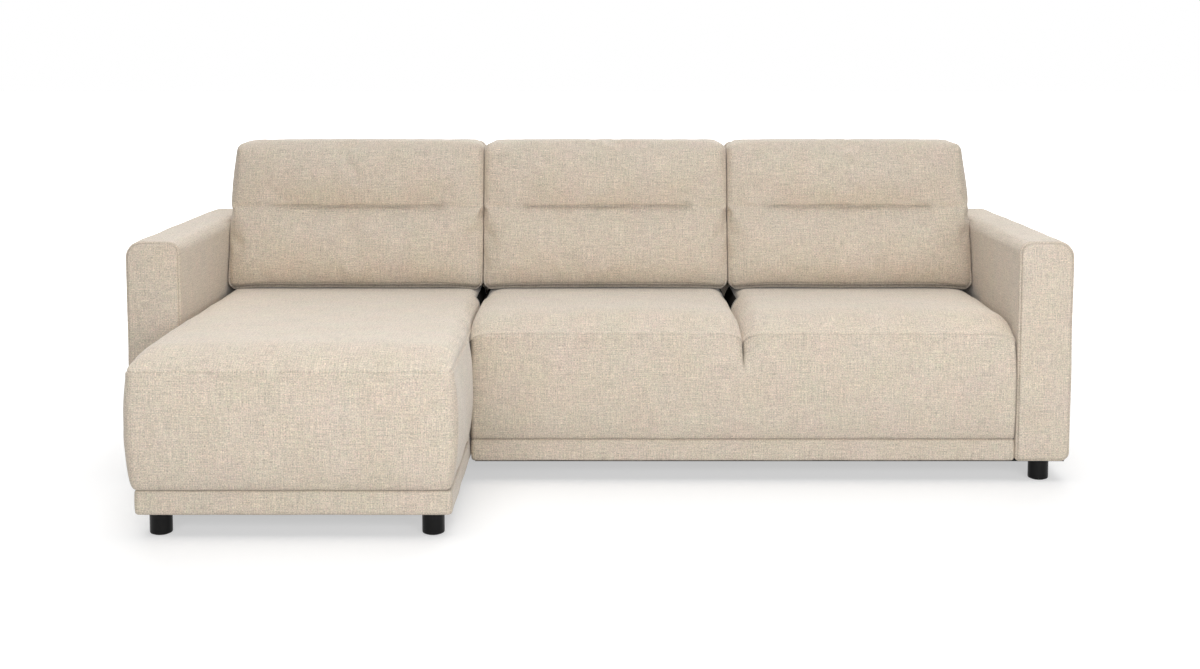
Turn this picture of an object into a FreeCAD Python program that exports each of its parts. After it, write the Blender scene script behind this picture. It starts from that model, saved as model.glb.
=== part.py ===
import FreeCAD, Part
import math
import os

# A corner sofa with a chaise on the left, seen from the front. It is two upholstered modules
# hooked together, with three loose back cushions. X runs along the sofa, +X to the right; the
# chaise and the seat fronts face -Y; +Z is up. The origin is on the floor, in the middle of the
# whole sofa's outline. Lengths are millimetres and angles are degrees.

V = FreeCAD.Vector

# Overall sizes
OVERALL_WIDTH = 2520.0
OVERALL_HEIGHT = 885.0
CHAISE_DEPTH = 1425.0
SOFA_DEPTH = 905.0

# Arms, backrest and where the modules part
ARM_WIDTH = 146.0
ARM_HEIGHT = 650.0
ARM_CORNER = 32.0
ARM_FRONT_ROUND = 12.0
BACK_THICKNESS = 222.0
BACK_CORNER = 34.0
BACK_LEAN = 12.5
CHAISE_SEAT_WIDTH = 764.0
MODULE_GAP = 8.0

# Heights, from the floor
FOOT_HEIGHT = 55.0
BAND_TOP = 116.0
SEAM_HEIGHT = 403.0
SEAT_TOP = 447.0
RAIL_TOP = 176.0

# Seat bodies: how far they stand proud of the band below, and how round they are
FRONT_BULGE = 25.0
BULGE_HEIGHT = 272.0
SEAT_CROWN = 8.0
SEAT_UNDERCUT = 12.0
LOW_EDGE_HEIGHT = 19.0
ROLL_DEPTH = 135.0
ROLL_BOW = 11.0
SEAM_SETBACK = 10.0
SHOULDER_WIDTH = 80.0
SHOULDER_DROP = 42.0
SHOULDER_PULL = 25.0
SEAM_DROP_SHARE = 0.7
FRONT_BOW = 2.5
END_PULL = 12.0
CREASE_PULL = 2.0
BAND_SETBACK = 10.0

# The chaise's sides swell in front of the arm and of the other module
CHAISE_SHOULDER = 34.0
CHAISE_SIDE_SWELL = 19.0
CHAISE_LEFT_STEP = 8.0
CHAISE_RIGHT_STEP = 6.0
CHAISE_BAND_INSET = 14.0
STEP_LENGTH = 12.0

# The chaise's nose in rows from the front back: shares of these four lengths
NOSE_DEPTH = 150.0
NOSE_SIDE = 74.0
NOSE_DROP = 84.0
NOSE_RISE = 84.0
NOSE_ROWS = [
    (0.0, 1.0, 1.0, 1.0),
    (0.025, 0.6, 0.7, 0.55),
    (0.06, 0.3, 0.52, 0.26),
    (0.135, 0.12, 0.4, 0.07),
    (0.28, 0.03, 0.28, 0.0),
    (0.57, 0.0, 0.1, 0.0),
    (1.0, 0.0, 0.0, 0.0),
]

# Upholstery
COVER_THICKNESS = 3.0
ARM_PADDING = 16.0
BACK_PADDING = 30.0
BACK_TOP_PADDING = 16.0
BACK_REAR_PADDING = 5.0
BAND_THICKNESS = 10.0
BAND_ROUND = 7.0
DUST_COVER_THICKNESS = 1.0
DUST_COVER_MARGIN = 12.0

# Timber
RAIL_THICKNESS = 20.0
CROSS_RAIL_HEIGHT = 70.0
CROSS_RAIL_SPACING = 380.0
FOOT_BLOCK_SIZE = 84.0
FOOT_BLOCK_HEIGHT = 28.0
ARM_PANEL_THICKNESS = 6.0
ARM_POST_WIDTH = 60.0
ARM_RAIL_HEIGHT = 60.0
ARM_TOP_RAIL_HEIGHT = 30.0
RIB_THICKNESS = 18.0
RIB_SPACING = 400.0
BACK_RAIL_SIZE = 45.0
BACK_BOTTOM_RAIL_HEIGHT = 90.0
BACK_SLAT_THICKNESS = 22.0

# Springs, webbing and felt
WIRE_RADIUS = 1.9
SPRING_RUN = 34.0
SPRING_PITCH = 42.0
SPRING_SPACING = 140.0
CLIP_THICKNESS = 1.0
CLIP_WIDTH = 16.0
CLIP_EAR = 7.0
FELT_THICKNESS = 3.0
STRAP_WIDTH = 50.0
STRAP_THICKNESS = 2.0
STRAP_COUNT = 2

# Feet and fasteners
FOOT_RADIUS = 27.0
FOOT_EDGE_ROUND = 4.0
FOOT_INSET = 46.0
ARM_FOOT_INSET = 45.0
MIDDLE_FOOT_SETBACK = 300.0
GLIDE_RADIUS = 19.0
GLIDE_THICKNESS = 2.0
BOLT_RADIUS = 4.0
BOLT_HEAD_RADIUS = 7.0
BOLT_HEAD_HEIGHT = 5.5
BOLT_CLEARANCE = 0.3
THREAD_CLEARANCE = 0.05
FOOT_BOLT_HEAD_TOP = 24.0
NUT_BARREL_RADIUS = 5.5
NUT_BARREL_GAP = 2.0
NUT_FLANGE_RADIUS = 11.0
NUT_FLANGE_THICKNESS = 1.5
BOLT_BITE = 36.0
ARM_BOLT_COUNT = 3
ARM_BOLT_FRONT_INSET = 130.0
ARM_BOLT_REAR_INSET = 90.0
CLEAT_END_INSET = 45.0
CLEAT_HEIGHT = 48.0

# Connector plates between the modules: a tongue that drops into a pocket
PLATE_THICKNESS = 2.0
PLATE_WIDTH = 78.0
PLATE_HEIGHT = 15.0
BRIDGE_THICKNESS = 1.0
POCKET_WIDTH = 46.0
POCKET_HEIGHT = 16.0
TONGUE_WIDTH = 26.0
TONGUE_FLOOR = 2.0
CONNECTOR_BASE = 4.0
CONNECTOR_FRONT_INSET = 150.0
CONNECTOR_REAR_INSET = 120.0
SCREW_RADIUS = 2.0
SCREW_HEAD_RADIUS = 4.0
SCREW_HEAD_HEIGHT = 1.4
SCREW_LENGTH = 24.0

# Back cushions
CUSHION_THICKNESS = 176.0
CUSHION_CROWN = 16.0
CUSHION_END_CROWN = 4.0
CUSHION_REAR_CROWN = 3.0
CUSHION_TOP_CROWN = 6.0
CUSHION_EDGE = 34.0
CUSHION_SIDE_ROUND = 42.0
CUSHION_GAP = 2.0
CHANNEL_DEPTH = 9.0
CHANNEL_HALF_HEIGHT = 15.0
CHANNEL_LIP_SHARE = 0.35
CHANNEL_LENGTH_SHARE = 0.66
CHANNEL_HEIGHT_SHARE = 0.54
CHANNEL_RUN_OUT = 34.0

# Clearances, and the bow of a side that is all but flat
FIT = 0.3
SOFT_FIT = 0.5
FLAT_BOW = 0.25

# A quarter circle stands out from its chord by this share of its radius
CORNER_BOW = 1.0 - math.sqrt(0.5)

# Places that follow from the sizes
X_LEFT, X_RIGHT = -OVERALL_WIDTH / 2, OVERALL_WIDTH / 2
X_LEFT_ARM = X_LEFT + ARM_WIDTH
X_RIGHT_ARM = X_RIGHT - ARM_WIDTH
X_JOIN = X_LEFT_ARM + CHAISE_SEAT_WIDTH
X_CHAISE_SIDE = X_JOIN - MODULE_GAP / 2
X_LOVESEAT_SIDE = X_JOIN + MODULE_GAP / 2
X_SPLIT = (X_JOIN + X_RIGHT_ARM) / 2
Y_NOSE, Y_REAR = -CHAISE_DEPTH / 2, CHAISE_DEPTH / 2
Y_ARM = Y_REAR - SOFA_DEPTH
Y_BACK = Y_REAR - BACK_THICKNESS
Y_SEAT_REAR = Y_BACK - SOFT_FIT
Y_CUSHION_FRONT = Y_BACK - CUSHION_THICKNESS - CUSHION_CROWN - CUSHION_EDGE
Z_FRAME = FOOT_HEIGHT + DUST_COVER_THICKNESS
CLIP_INSIDE = 2 * WIRE_RADIUS + FIT
Z_FELT = RAIL_TOP + CLIP_INSIDE + CLIP_THICKNESS + FIT
Z_FOAM = Z_FELT + FELT_THICKNESS + FIT
Z_CUSHION = SEAT_TOP + SOFT_FIT
Z_CONNECTOR = Z_FRAME + CONNECTOR_BASE
Z_ARM_BOLT = (Z_FRAME + BAND_TOP) / 2
LEAN_SLOPE = math.tan(math.radians(BACK_LEAN))


def box(x0, x1, y0, y1, z0, z1):
    return Part.makeBox(x1 - x0, y1 - y0, z1 - z0, V(x0, y0, z0))


def rod(start, direction, length, radius):
    return Part.makeCylinder(radius, length, V(*start), V(*direction))


def group(solids):
    """One shape that holds separate solids, for pieces that share a node."""
    return Part.makeCompound(solids)


def cut_all(shape, holes):
    for hole in holes:
        shape = shape.cut(hole)
    return shape


def outline(place, start, steps, closing=0.0):
    """A closed wire. Each step is (end point, bow): the edge to it is straight where bow is 0, and
    otherwise an arc that stands out from its chord by bow, to the right of the way it runs."""
    edges = []
    here = start
    for there, bow in steps + [(start, closing)]:
        across, up = there[0] - here[0], there[1] - here[1]
        length = math.hypot(across, up)
        if bow:
            middle = (
                (here[0] + there[0]) / 2 + up / length * bow,
                (here[1] + there[1]) / 2 - across / length * bow,
            )
            edges.append(Part.Arc(place(*here), place(*middle), place(*there)).toShape())
        else:
            edges.append(Part.LineSegment(place(*here), place(*there)).toShape())
        here = there
    return Part.Wire(edges)


def loft(wires):
    return Part.makeLoft(wires, True, True)


def quarter_turn():
    """(distance in from an edge, what the section loses there) along a quarter circle of
    radius 1, from the edge inwards."""
    angles = [math.radians(a) for a in (0, 22, 45, 67, 90)]
    return [(1 - math.cos(a), 1 - math.sin(a)) for a in angles]


class Base:
    """A module's base: its band's outside faces, and where its timber stands inside the band."""

    def __init__(self, band_x0, band_x1, band_y0, feet):
        self.band_x0, self.band_x1, self.band_y0 = band_x0, band_x1, band_y0
        self.x0 = band_x0 + BAND_THICKNESS
        self.x1 = band_x1 - BAND_THICKNESS
        self.y0 = band_y0 + BAND_THICKNESS
        self.y1 = Y_BACK - FIT
        self.feet = feet

    def over(self, top):
        """The space over the timber up to top, which the seat's foam and cover leave free."""
        x0, x1 = self.x0 - FIT, self.x1 + FIT
        return box(x0, x1, self.y0 - FIT, self.y1 + BACK_THICKNESS, 0.0, top)


def chaise_base():
    x0, x1 = X_LEFT_ARM + CHAISE_BAND_INSET, X_CHAISE_SIDE
    y0 = Y_NOSE + FRONT_BULGE
    near, far = y0 + FOOT_INSET, Y_BACK - FOOT_INSET
    feet = [(x0 + FOOT_INSET, near), (x1 - FOOT_INSET, near), (x1 - FOOT_INSET, far)]
    return Base(x0, x1, y0, feet)


def loveseat_base():
    x0, x1 = X_LOVESEAT_SIDE, X_RIGHT_ARM - SOFT_FIT
    y0 = Y_ARM + BAND_SETBACK
    feet = [(x0 + FOOT_INSET, y0 + MIDDLE_FOOT_SETBACK), (x0 + FOOT_INSET, Y_BACK - FOOT_INSET)]
    return Base(x0, x1, y0, feet)


def arm_feet(x0):
    x = x0 + ARM_WIDTH / 2
    return [(x, Y_ARM + ARM_FOOT_INSET), (x, Y_REAR - ARM_FOOT_INSET)]


def chaise_form(inset):
    """The chaise's seat body, taken in by inset: swollen where it stands free, flat-sided between
    the arm and the other module. Its sections stand across it and follow one another in Y."""
    flat_left, flat_right = X_LEFT_ARM + SOFT_FIT, X_JOIN - SOFT_FIT
    free_left, free_right = X_LEFT_ARM - CHAISE_LEFT_STEP, X_JOIN + CHAISE_RIGHT_STEP
    radius = CHAISE_SHOULDER - inset

    def section(y, left, right, crown, swell=(1.0, 1.0), lose=(0.0, 0.0, 0.0)):
        x0 = left + inset + NOSE_SIDE * lose[0]
        x1 = right - inset - NOSE_SIDE * lose[0]
        z1 = SEAT_TOP - inset - NOSE_DROP * lose[1]
        z0 = BAND_TOP + inset + NOSE_RISE * lose[2]
        low = z0 + LOW_EDGE_HEIGHT
        bows = [max(FLAT_BOW, CHAISE_SIDE_SWELL * share * (1 - lose[0])) for share in swell]
        return outline(
            lambda x, z: V(x, y, z),
            (x0 + SEAT_UNDERCUT, z0),
            [
                ((x1 - SEAT_UNDERCUT, z0), 0.0),
                ((x1, low), SEAT_UNDERCUT * CORNER_BOW),
                ((x1, z1 - radius), bows[1]),
                ((x1 - radius, z1), radius * CORNER_BOW),
                ((x0 + radius, z1), crown),
                ((x0, z1 - radius), radius * CORNER_BOW),
                ((x0, low), bows[0]),
            ],
            SEAT_UNDERCUT * CORNER_BOW,
        )

    wires = []
    for back, *lose in NOSE_ROWS:
        y = Y_NOSE + inset + NOSE_DEPTH * back
        wires.append(section(y, free_left, free_right, SEAT_CROWN, lose=lose))
    right_end = Y_ARM + BAND_SETBACK - FRONT_BULGE - STEP_LENGTH - inset
    left_end = Y_ARM - SOFT_FIT - inset
    wires.append(section(right_end - STEP_LENGTH, free_left, free_right, SEAT_CROWN))
    wires.append(section(right_end, free_left, flat_right, SEAT_CROWN, (1.0, 0.0)))
    wires.append(section(left_end - STEP_LENGTH, free_left, flat_right, SEAT_CROWN, (1.0, 0.0)))
    wires.append(section(left_end, flat_left, flat_right, SEAT_CROWN, (0.0, 0.0)))
    wires.append(section(Y_CUSHION_FRONT, flat_left, flat_right, FLAT_BOW, (0.0, 0.0)))
    wires.append(section(Y_SEAT_REAR - inset, flat_left, flat_right, FLAT_BOW, (0.0, 0.0)))
    return loft(wires)


def seat_form(edges, low_pulls, inset):
    """A seat body of the two-seat module, taken in by inset in depth and height. It has rounded
    shoulders at each of edges, its places in X, where its lower front stands back by low_pulls.
    Its sections stand along its depth and follow one another in X."""
    front, back = Y_ARM + BAND_SETBACK + inset, Y_SEAT_REAR - inset
    base, top = BAND_TOP + inset, SEAT_TOP - inset
    seam = SEAM_HEIGHT - inset

    def section(x, lost, low_pull, crown=0.0):
        """lost is the shoulder's share of its full depth at x."""
        drop = (SHOULDER_DROP - inset) * lost
        pull = (SHOULDER_PULL - inset) * lost - crown / 2
        proud = front - FRONT_BULGE + low_pull * lost
        low_front = front - SEAT_UNDERCUT / 2 + low_pull * lost
        return outline(
            lambda y, z: V(x, y, z),
            (front + SEAT_UNDERCUT, base),
            [
                ((back, base), 0.0),
                ((back, top - drop), 0.0),
                ((Y_CUSHION_FRONT, top - drop), 0.0),
                ((front + ROLL_DEPTH, top - drop), SEAT_CROWN / 2 + crown),
                ((proud + SEAM_SETBACK + pull, seam - drop * SEAM_DROP_SHARE), ROLL_BOW + crown / 2),
                ((proud, BULGE_HEIGHT), FRONT_BOW),
                ((low_front, base + LOW_EDGE_HEIGHT), FRONT_BOW),
            ],
        )

    width = SHOULDER_WIDTH - inset
    turn = quarter_turn()
    wires = []
    for n, (left, right) in enumerate(zip(edges, edges[1:])):
        rise = turn if n == 0 else turn[1:]
        wires += [section(left + a * width, lost, low_pulls[n]) for a, lost in rise]
        wires.append(section((left + right) / 2, 0.0, 0.0, SEAT_CROWN / 2))
        wires += [section(right - a * width, lost, low_pulls[n + 1]) for a, lost in turn[::-1]]
    return loft(wires)


def base_rails(base, side_holes, rear_holes):
    """The rectangle of rails that carries a module: front, rear, left and right."""
    z0, z1, t = Z_FRAME, RAIL_TOP, RAIL_THICKNESS
    rails = [
        box(base.x0, base.x1, base.y0, base.y0 + t, z0, z1),
        box(base.x0, base.x1, base.y1 - t, base.y1, z0, z1),
        box(base.x0, base.x0 + t, base.y0 + t, base.y1 - t, z0, z1),
        box(base.x1 - t, base.x1, base.y0 + t, base.y1 - t, z0, z1),
    ]
    return group([cut_all(rail, side_holes + rear_holes) for rail in rails])


def cross_rails(base, along_x):
    """Rails that brace the base under its springs, square to the way the springs run."""
    t = RAIL_THICKNESS
    x0, x1, y0, y1 = base.x0 + t, base.x1 - t, base.y0 + t, base.y1 - t
    z0 = Z_FRAME + FOOT_BLOCK_HEIGHT
    z1 = z0 + CROSS_RAIL_HEIGHT
    start, stop = (y0, y1) if along_x else (x0, x1)
    bays = max(2, round((stop - start) / CROSS_RAIL_SPACING))
    rails = []
    for n in range(1, bays):
        at = start + (stop - start) * n / bays - t / 2
        if along_x:
            rails.append(box(x0, x1, at, at + t, z0, z1))
        else:
            rails.append(box(at, at + t, y0, y1, z0, z1))
    return group(rails)


def bolt_way(x, y, radius):
    """The way of a foot's bolt up through whatever stands over the foot."""
    return rod((x, y, 0), (0, 0, 1), Z_FRAME + ARM_RAIL_HEIGHT, radius)


def foot_blocks(base):
    """A block over each of the base's feet, in the angle or along the rail that it stands by."""
    t, size = RAIL_THICKNESS, FOOT_BLOCK_SIZE
    blocks = []
    for x, y in base.feet:
        left = x - base.x0 < base.x1 - x
        x0 = base.x0 + t if left else base.x1 - t - size
        y0 = min(max(y - size / 2, base.y0 + t), base.y1 - t - size)
        block = box(x0, x0 + size, y0, y0 + size, Z_FRAME, Z_FRAME + FOOT_BLOCK_HEIGHT)
        blocks.append(block.cut(bolt_way(x, y, NUT_BARREL_RADIUS + THREAD_CLEARANCE)))
    return group(blocks)


def zigzag_spring(length):
    """A flat serpentine wire along +X from the origin: straight runs in Y joined by half turns."""
    turns = max(2, round(length / SPRING_PITCH))
    pitch = length / turns
    side = SPRING_RUN / 2
    edges = []
    for n in range(turns + 1):
        x = n * pitch
        there = V(x, side, 0)
        edges.append(Part.LineSegment(V(x, -side, 0), there).toShape())
        if n < turns:
            bend = V(x + pitch / 2, side + math.copysign(pitch / 2, side), 0)
            edges.append(Part.Arc(there, bend, V(x + pitch, side, 0)).toShape())
            side = -side
    section = Part.Wire(Part.makeCircle(WIRE_RADIUS, V(0, -SPRING_RUN / 2, 0), V(0, 1, 0)))
    return Part.Wire(edges).makePipeShell([section], True, False)


def spring_clip():
    """A pressed clip that straddles a wire running in Y, its ears flat on the rail."""
    inner = WIRE_RADIUS + FIT
    outer = inner + CLIP_THICKNESS
    ear = outer + CLIP_EAR
    top = CLIP_INSIDE + CLIP_THICKNESS
    corners = [
        (-ear, 0),
        (-inner, 0),
        (-inner, CLIP_INSIDE),
        (inner, CLIP_INSIDE),
        (inner, 0),
        (ear, 0),
        (ear, CLIP_THICKNESS),
        (outer, CLIP_THICKNESS),
        (outer, top),
        (-outer, top),
        (-outer, CLIP_THICKNESS),
        (-ear, CLIP_THICKNESS),
    ]
    points = [V(x, -CLIP_WIDTH / 2, z) for x, z in corners]
    return Part.Face(Part.makePolygon(points + points[:1])).extrude(V(0, CLIP_WIDTH, 0))


def spring_set(base, along_x):
    """A base's springs and the clips at their ends, side by side over the rails."""
    t = RAIL_THICKNESS
    spans = [(base.x0, base.x1), (base.y0, base.y1)]
    (start, stop), (low, high) = spans if along_x else spans[::-1]
    length = stop - start - t
    room = high - low - 2 * t
    count = max(2, int(room / SPRING_SPACING))
    spring, clip = zigzag_spring(length), spring_clip()
    springs, clips = [], []
    for n in range(count):
        across = low + t + room * (n + 0.5) / count
        pieces = [(springs, spring, 0.0), (clips, clip, 0.0), (clips, clip, length)]
        for pile, shape, along in pieces:
            piece = shape.copy()
            lift = WIRE_RADIUS + FIT / 2 if pile is springs else 0.0
            if along_x:
                piece.translate(V(start + t / 2 + along, across, RAIL_TOP + lift))
            else:
                piece.rotate(V(0, 0, 0), V(0, 0, 1), 90)
                piece.translate(V(across, start + t / 2 + along, RAIL_TOP + lift))
            pile.append(piece)
    return group(springs), group(clips)


def spring_felt(base):
    return box(base.x0, base.x1, base.y0, base.y1, Z_FELT, Z_FELT + FELT_THICKNESS)


def base_band(base, holes):
    """The padded strip of fabric round a base, its outside edges rounded and its rear open."""
    z0, z1 = Z_FRAME, BAND_TOP - FIT
    outside = box(base.band_x0, base.band_x1, base.band_y0, base.y1, z0, z1)
    edges = [e for e in outside.Edges if e.BoundBox.YMin < base.band_y0 + 1]
    inside = box(base.x0 - FIT, base.x1 + FIT, base.y0 - FIT, base.y1 + 1, z0 - 1, z1 + 1)
    return cut_all(outside.makeFillet(BAND_ROUND, edges).cut(inside), holes)


def foot(x, y):
    """A turned plastic foot, bored for the bolt whose head sits inside it."""
    body = rod((x, y, GLIDE_THICKNESS), (0, 0, 1), FOOT_HEIGHT - GLIDE_THICKNESS, FOOT_RADIUS)
    rim = [e for e in body.Edges if e.BoundBox.ZMax < GLIDE_THICKNESS + FIT]
    body = body.makeFillet(FOOT_EDGE_ROUND, rim)
    well = rod((x, y, 0), (0, 0, 1), FOOT_BOLT_HEAD_TOP, BOLT_HEAD_RADIUS + BOLT_CLEARANCE)
    return body.cut(well).cut(bolt_way(x, y, BOLT_RADIUS + BOLT_CLEARANCE))


def foot_bolt(x, y):
    """A bolt from inside the foot up through the block and its nut."""
    low = FOOT_BOLT_HEAD_TOP - BOLT_HEAD_HEIGHT
    tip = Z_FRAME + FOOT_BLOCK_HEIGHT + NUT_FLANGE_THICKNESS + FIT
    head = rod((x, y, low), (0, 0, 1), BOLT_HEAD_HEIGHT, BOLT_HEAD_RADIUS)
    return head.fuse(rod((x, y, low), (0, 0, 1), tip - low, BOLT_RADIUS))


def foot_glide(x, y):
    return rod((x, y, 0), (0, 0, 1), GLIDE_THICKNESS, GLIDE_RADIUS)


def foot_nut(x, y):
    """A tee nut: its flange lies on the block and its barrel hangs in it round the bolt."""
    top = Z_FRAME + FOOT_BLOCK_HEIGHT
    low = Z_FRAME + NUT_BARREL_GAP
    barrel = rod((x, y, low), (0, 0, 1), top - low, NUT_BARREL_RADIUS)
    flange = rod((x, y, top), (0, 0, 1), NUT_FLANGE_THICKNESS, NUT_FLANGE_RADIUS)
    return barrel.fuse(flange).cut(bolt_way(x, y, BOLT_RADIUS + THREAD_CLEARANCE))


def dust_cover(base, arm_x0, feet):
    """The black cloth under a module: one sheet under its base, its backrest and its arm."""
    m = DUST_COVER_MARGIN
    under_base = box(base.x0, base.x1, base.y0, Y_REAR - m, FOOT_HEIGHT, Z_FRAME)
    x0, x1 = min(base.x0, arm_x0 + m), max(base.x1, arm_x0 + ARM_WIDTH - m)
    under_arm = box(x0, x1, Y_ARM + m, Y_REAR - m, FOOT_HEIGHT, Z_FRAME)
    sheet = under_base.fuse(under_arm).removeSplitter()
    return cut_all(sheet, [bolt_way(*f, BOLT_RADIUS + BOLT_CLEARANCE) for f in feet])


def side_bolt(start, direction, tip_distance):
    """A bolt from a rail's inner face along direction, and the way that it needs."""
    x, y, z = start
    dx, dy = direction
    back = (x - dx * BOLT_HEAD_HEIGHT, y - dy * BOLT_HEAD_HEIGHT, z)
    head = rod(back, (dx, dy, 0), BOLT_HEAD_HEIGHT, BOLT_HEAD_RADIUS)
    bolt = head.fuse(rod(start, (dx, dy, 0), tip_distance, BOLT_RADIUS))
    return bolt, rod(start, (dx, dy, 0), tip_distance + FIT, BOLT_RADIUS + BOLT_CLEARANCE)


def arm_bolts(base, side):
    """Bolts through a base's side rail into the arm on that side: -1 is left and +1 right."""
    rail_x = base.x0 + RAIL_THICKNESS if side < 0 else base.x1 - RAIL_THICKNESS
    arm_face = X_LEFT_ARM if side < 0 else X_RIGHT_ARM
    skin = COVER_THICKNESS + ARM_PADDING + FIT + ARM_PANEL_THICKNESS
    length = abs(arm_face + side * (skin + BOLT_BITE) - rail_x)
    first, last = Y_ARM + ARM_BOLT_FRONT_INSET, base.y1 - ARM_BOLT_REAR_INSET
    places = [first + (last - first) * n / (ARM_BOLT_COUNT - 1) for n in range(ARM_BOLT_COUNT)]
    pairs = [side_bolt((rail_x, y, Z_ARM_BOLT), (side, 0), length) for y in places]
    return [bolt for bolt, way in pairs], [way for bolt, way in pairs]


def back_bays(x0, x1):
    """Where the backrest between x0 and x1 is divided by its ribs: the ribs' left faces."""
    first = x0 + 2 * COVER_THICKNESS + FIT
    last = x1 - 2 * COVER_THICKNESS - FIT - RIB_THICKNESS
    bays = max(1, round((last - first) / RIB_SPACING))
    return [first + (last - first) * n / bays for n in range(bays + 1)]


def back_frame_front():
    return Y_BACK + COVER_THICKNESS + BACK_PADDING + STRAP_THICKNESS + 2 * FIT


def back_bolts(base, x0, x1):
    """Bolts through a base's rear rail into the backrest's bottom rail, one in each bay."""
    start_y = base.y1 - RAIL_THICKNESS
    length = back_frame_front() + BOLT_BITE - start_y
    ribs = back_bays(x0, x1)
    places = [(a + b + RIB_THICKNESS) / 2 for a, b in zip(ribs, ribs[1:])]
    pairs = [side_bolt((x, start_y, Z_ARM_BOLT), (0, 1), length) for x in places]
    return [bolt for bolt, way in pairs], [way for bolt, way in pairs]


def arm_form(x0, inset):
    """An arm: a box with rounded edges along its top and softer ones round its front and rear."""
    x_a, x_b = x0 + inset, x0 + ARM_WIDTH - inset
    top, base = ARM_HEIGHT - inset, Z_FRAME + inset
    corner = ARM_CORNER - inset
    front, rear = Y_ARM + inset, Y_REAR - inset
    section = outline(
        lambda x, z: V(x, front, z),
        (x_a, base),
        [
            ((x_b, base), 0.0),
            ((x_b, top - corner), 0.0),
            ((x_b - corner, top), corner * CORNER_BOW),
            ((x_a + corner, top), 0.0),
            ((x_a, top - corner), corner * CORNER_BOW),
        ],
    )
    body = Part.Face(section).extrude(V(0, rear - front, 0))
    ends = [
        e
        for e in body.Edges
        if e.BoundBox.YMax - e.BoundBox.YMin < FIT and e.BoundBox.ZMax > base + FIT
    ]
    return body.makeFillet(ARM_FRONT_ROUND - inset, ends)


def arm_cavity(x0, skin, z0, lower=0.0):
    """The space inside an arm, skin away from its faces, from z0 up."""
    x1, z1 = x0 + ARM_WIDTH - skin, ARM_HEIGHT - skin - lower
    return box(x0 + skin, x1, Y_ARM + skin, Y_REAR - skin, z0, z1)


def arm_parts(side, x0, holes):
    """The timber, panels, padding and cover of the arm whose left face is at x0."""
    skin = COVER_THICKNESS + ARM_PADDING
    room = skin + FIT
    x_a, x_b = x0 + room, x0 + ARM_WIDTH - room
    y_a, y_b = Y_ARM + room, Y_REAR - room
    z_a, z_b = Z_FRAME, ARM_HEIGHT - room
    t, post = ARM_PANEL_THICKNESS, ARM_POST_WIDTH
    low, high = z_a + ARM_RAIL_HEIGHT, z_b - ARM_TOP_RAIL_HEIGHT
    timber = [
        box(x_a + t, x_b - t, y_a, y_b, z_a, low),
        box(x_a + t, x_b - t, y_a, y_b, high, z_b),
        box(x_a + t, x_b - t, y_a, y_a + post, low, high),
        box(x_a + t, x_b - t, y_b - post, y_b, low, high),
    ]
    panels = [box(x_a, x_a + t, y_a, y_b, z_a, z_b), box(x_b - t, x_b, y_a, y_b, z_a, z_b)]
    ways = list(holes)
    for x, y in arm_feet(x0):
        block_top = z_a + FOOT_BLOCK_HEIGHT
        ways.append(bolt_way(x, y, NUT_BARREL_RADIUS + THREAD_CLEARANCE))
        ways.append(rod((x, y, block_top), (0, 0, 1), low - block_top, NUT_FLANGE_RADIUS + FIT))
    inner = arm_form(x0, COVER_THICKNESS)
    cover = arm_form(x0, 0.0).cut(inner).cut(arm_cavity(x0, skin, 0.0))
    padding = arm_form(x0, COVER_THICKNESS + FIT).cut(arm_cavity(x0, skin, 0.0))
    return {
        side + "_arm_frame": group([cut_all(piece, ways) for piece in timber]),
        side + "_arm_panels": group([cut_all(panel, holes) for panel in panels]),
        side + "_arm_padding": cut_all(padding, holes),
        side + "_arm_cover": cut_all(cover, holes),
    }


def arm_cleat(base, holes):
    """The batten that fills the space between the chaise's base band and its arm."""
    middle, half = Z_ARM_BOLT, CLEAT_HEIGHT / 2
    y0, y1 = Y_ARM + CLEAT_END_INSET, base.y1 - CLEAT_END_INSET
    cleat = box(X_LEFT_ARM + FIT, base.band_x0 - FIT, y0, y1, middle - half, middle + half)
    return cut_all(cleat, holes)


def back_block(x0, x1, front, rear, top, base, corner):
    """The backrest's shape between x0 and x1, taken in by front, rear and top, from base up. Its
    front face stands upright below the seat's top and leans back above it."""
    y_low, y_rear = Y_BACK + front, Y_REAR - rear
    z_high = ARM_HEIGHT - top
    slope_high = z_high - corner
    y_high = y_low + (slope_high - SEAT_TOP) * LEAN_SLOPE
    chord = math.radians(90 + BACK_LEAN) / 2
    turn = math.radians(90 - BACK_LEAN)
    front_bow = corner / math.cos(chord) * math.tan(turn / 4) / 2
    section = outline(
        lambda y, z: V(x0, y, z),
        (y_low, base),
        [
            ((y_rear, base), 0.0),
            ((y_rear, slope_high), 0.0),
            ((y_rear - corner, z_high), corner * CORNER_BOW),
            ((y_high + corner * math.tan(chord), z_high), 0.0),
            ((y_high, slope_high), front_bow),
            ((y_low, SEAT_TOP), 0.0),
        ],
    )
    return Part.Face(section).extrude(V(x1 - x0, 0, 0))


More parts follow.
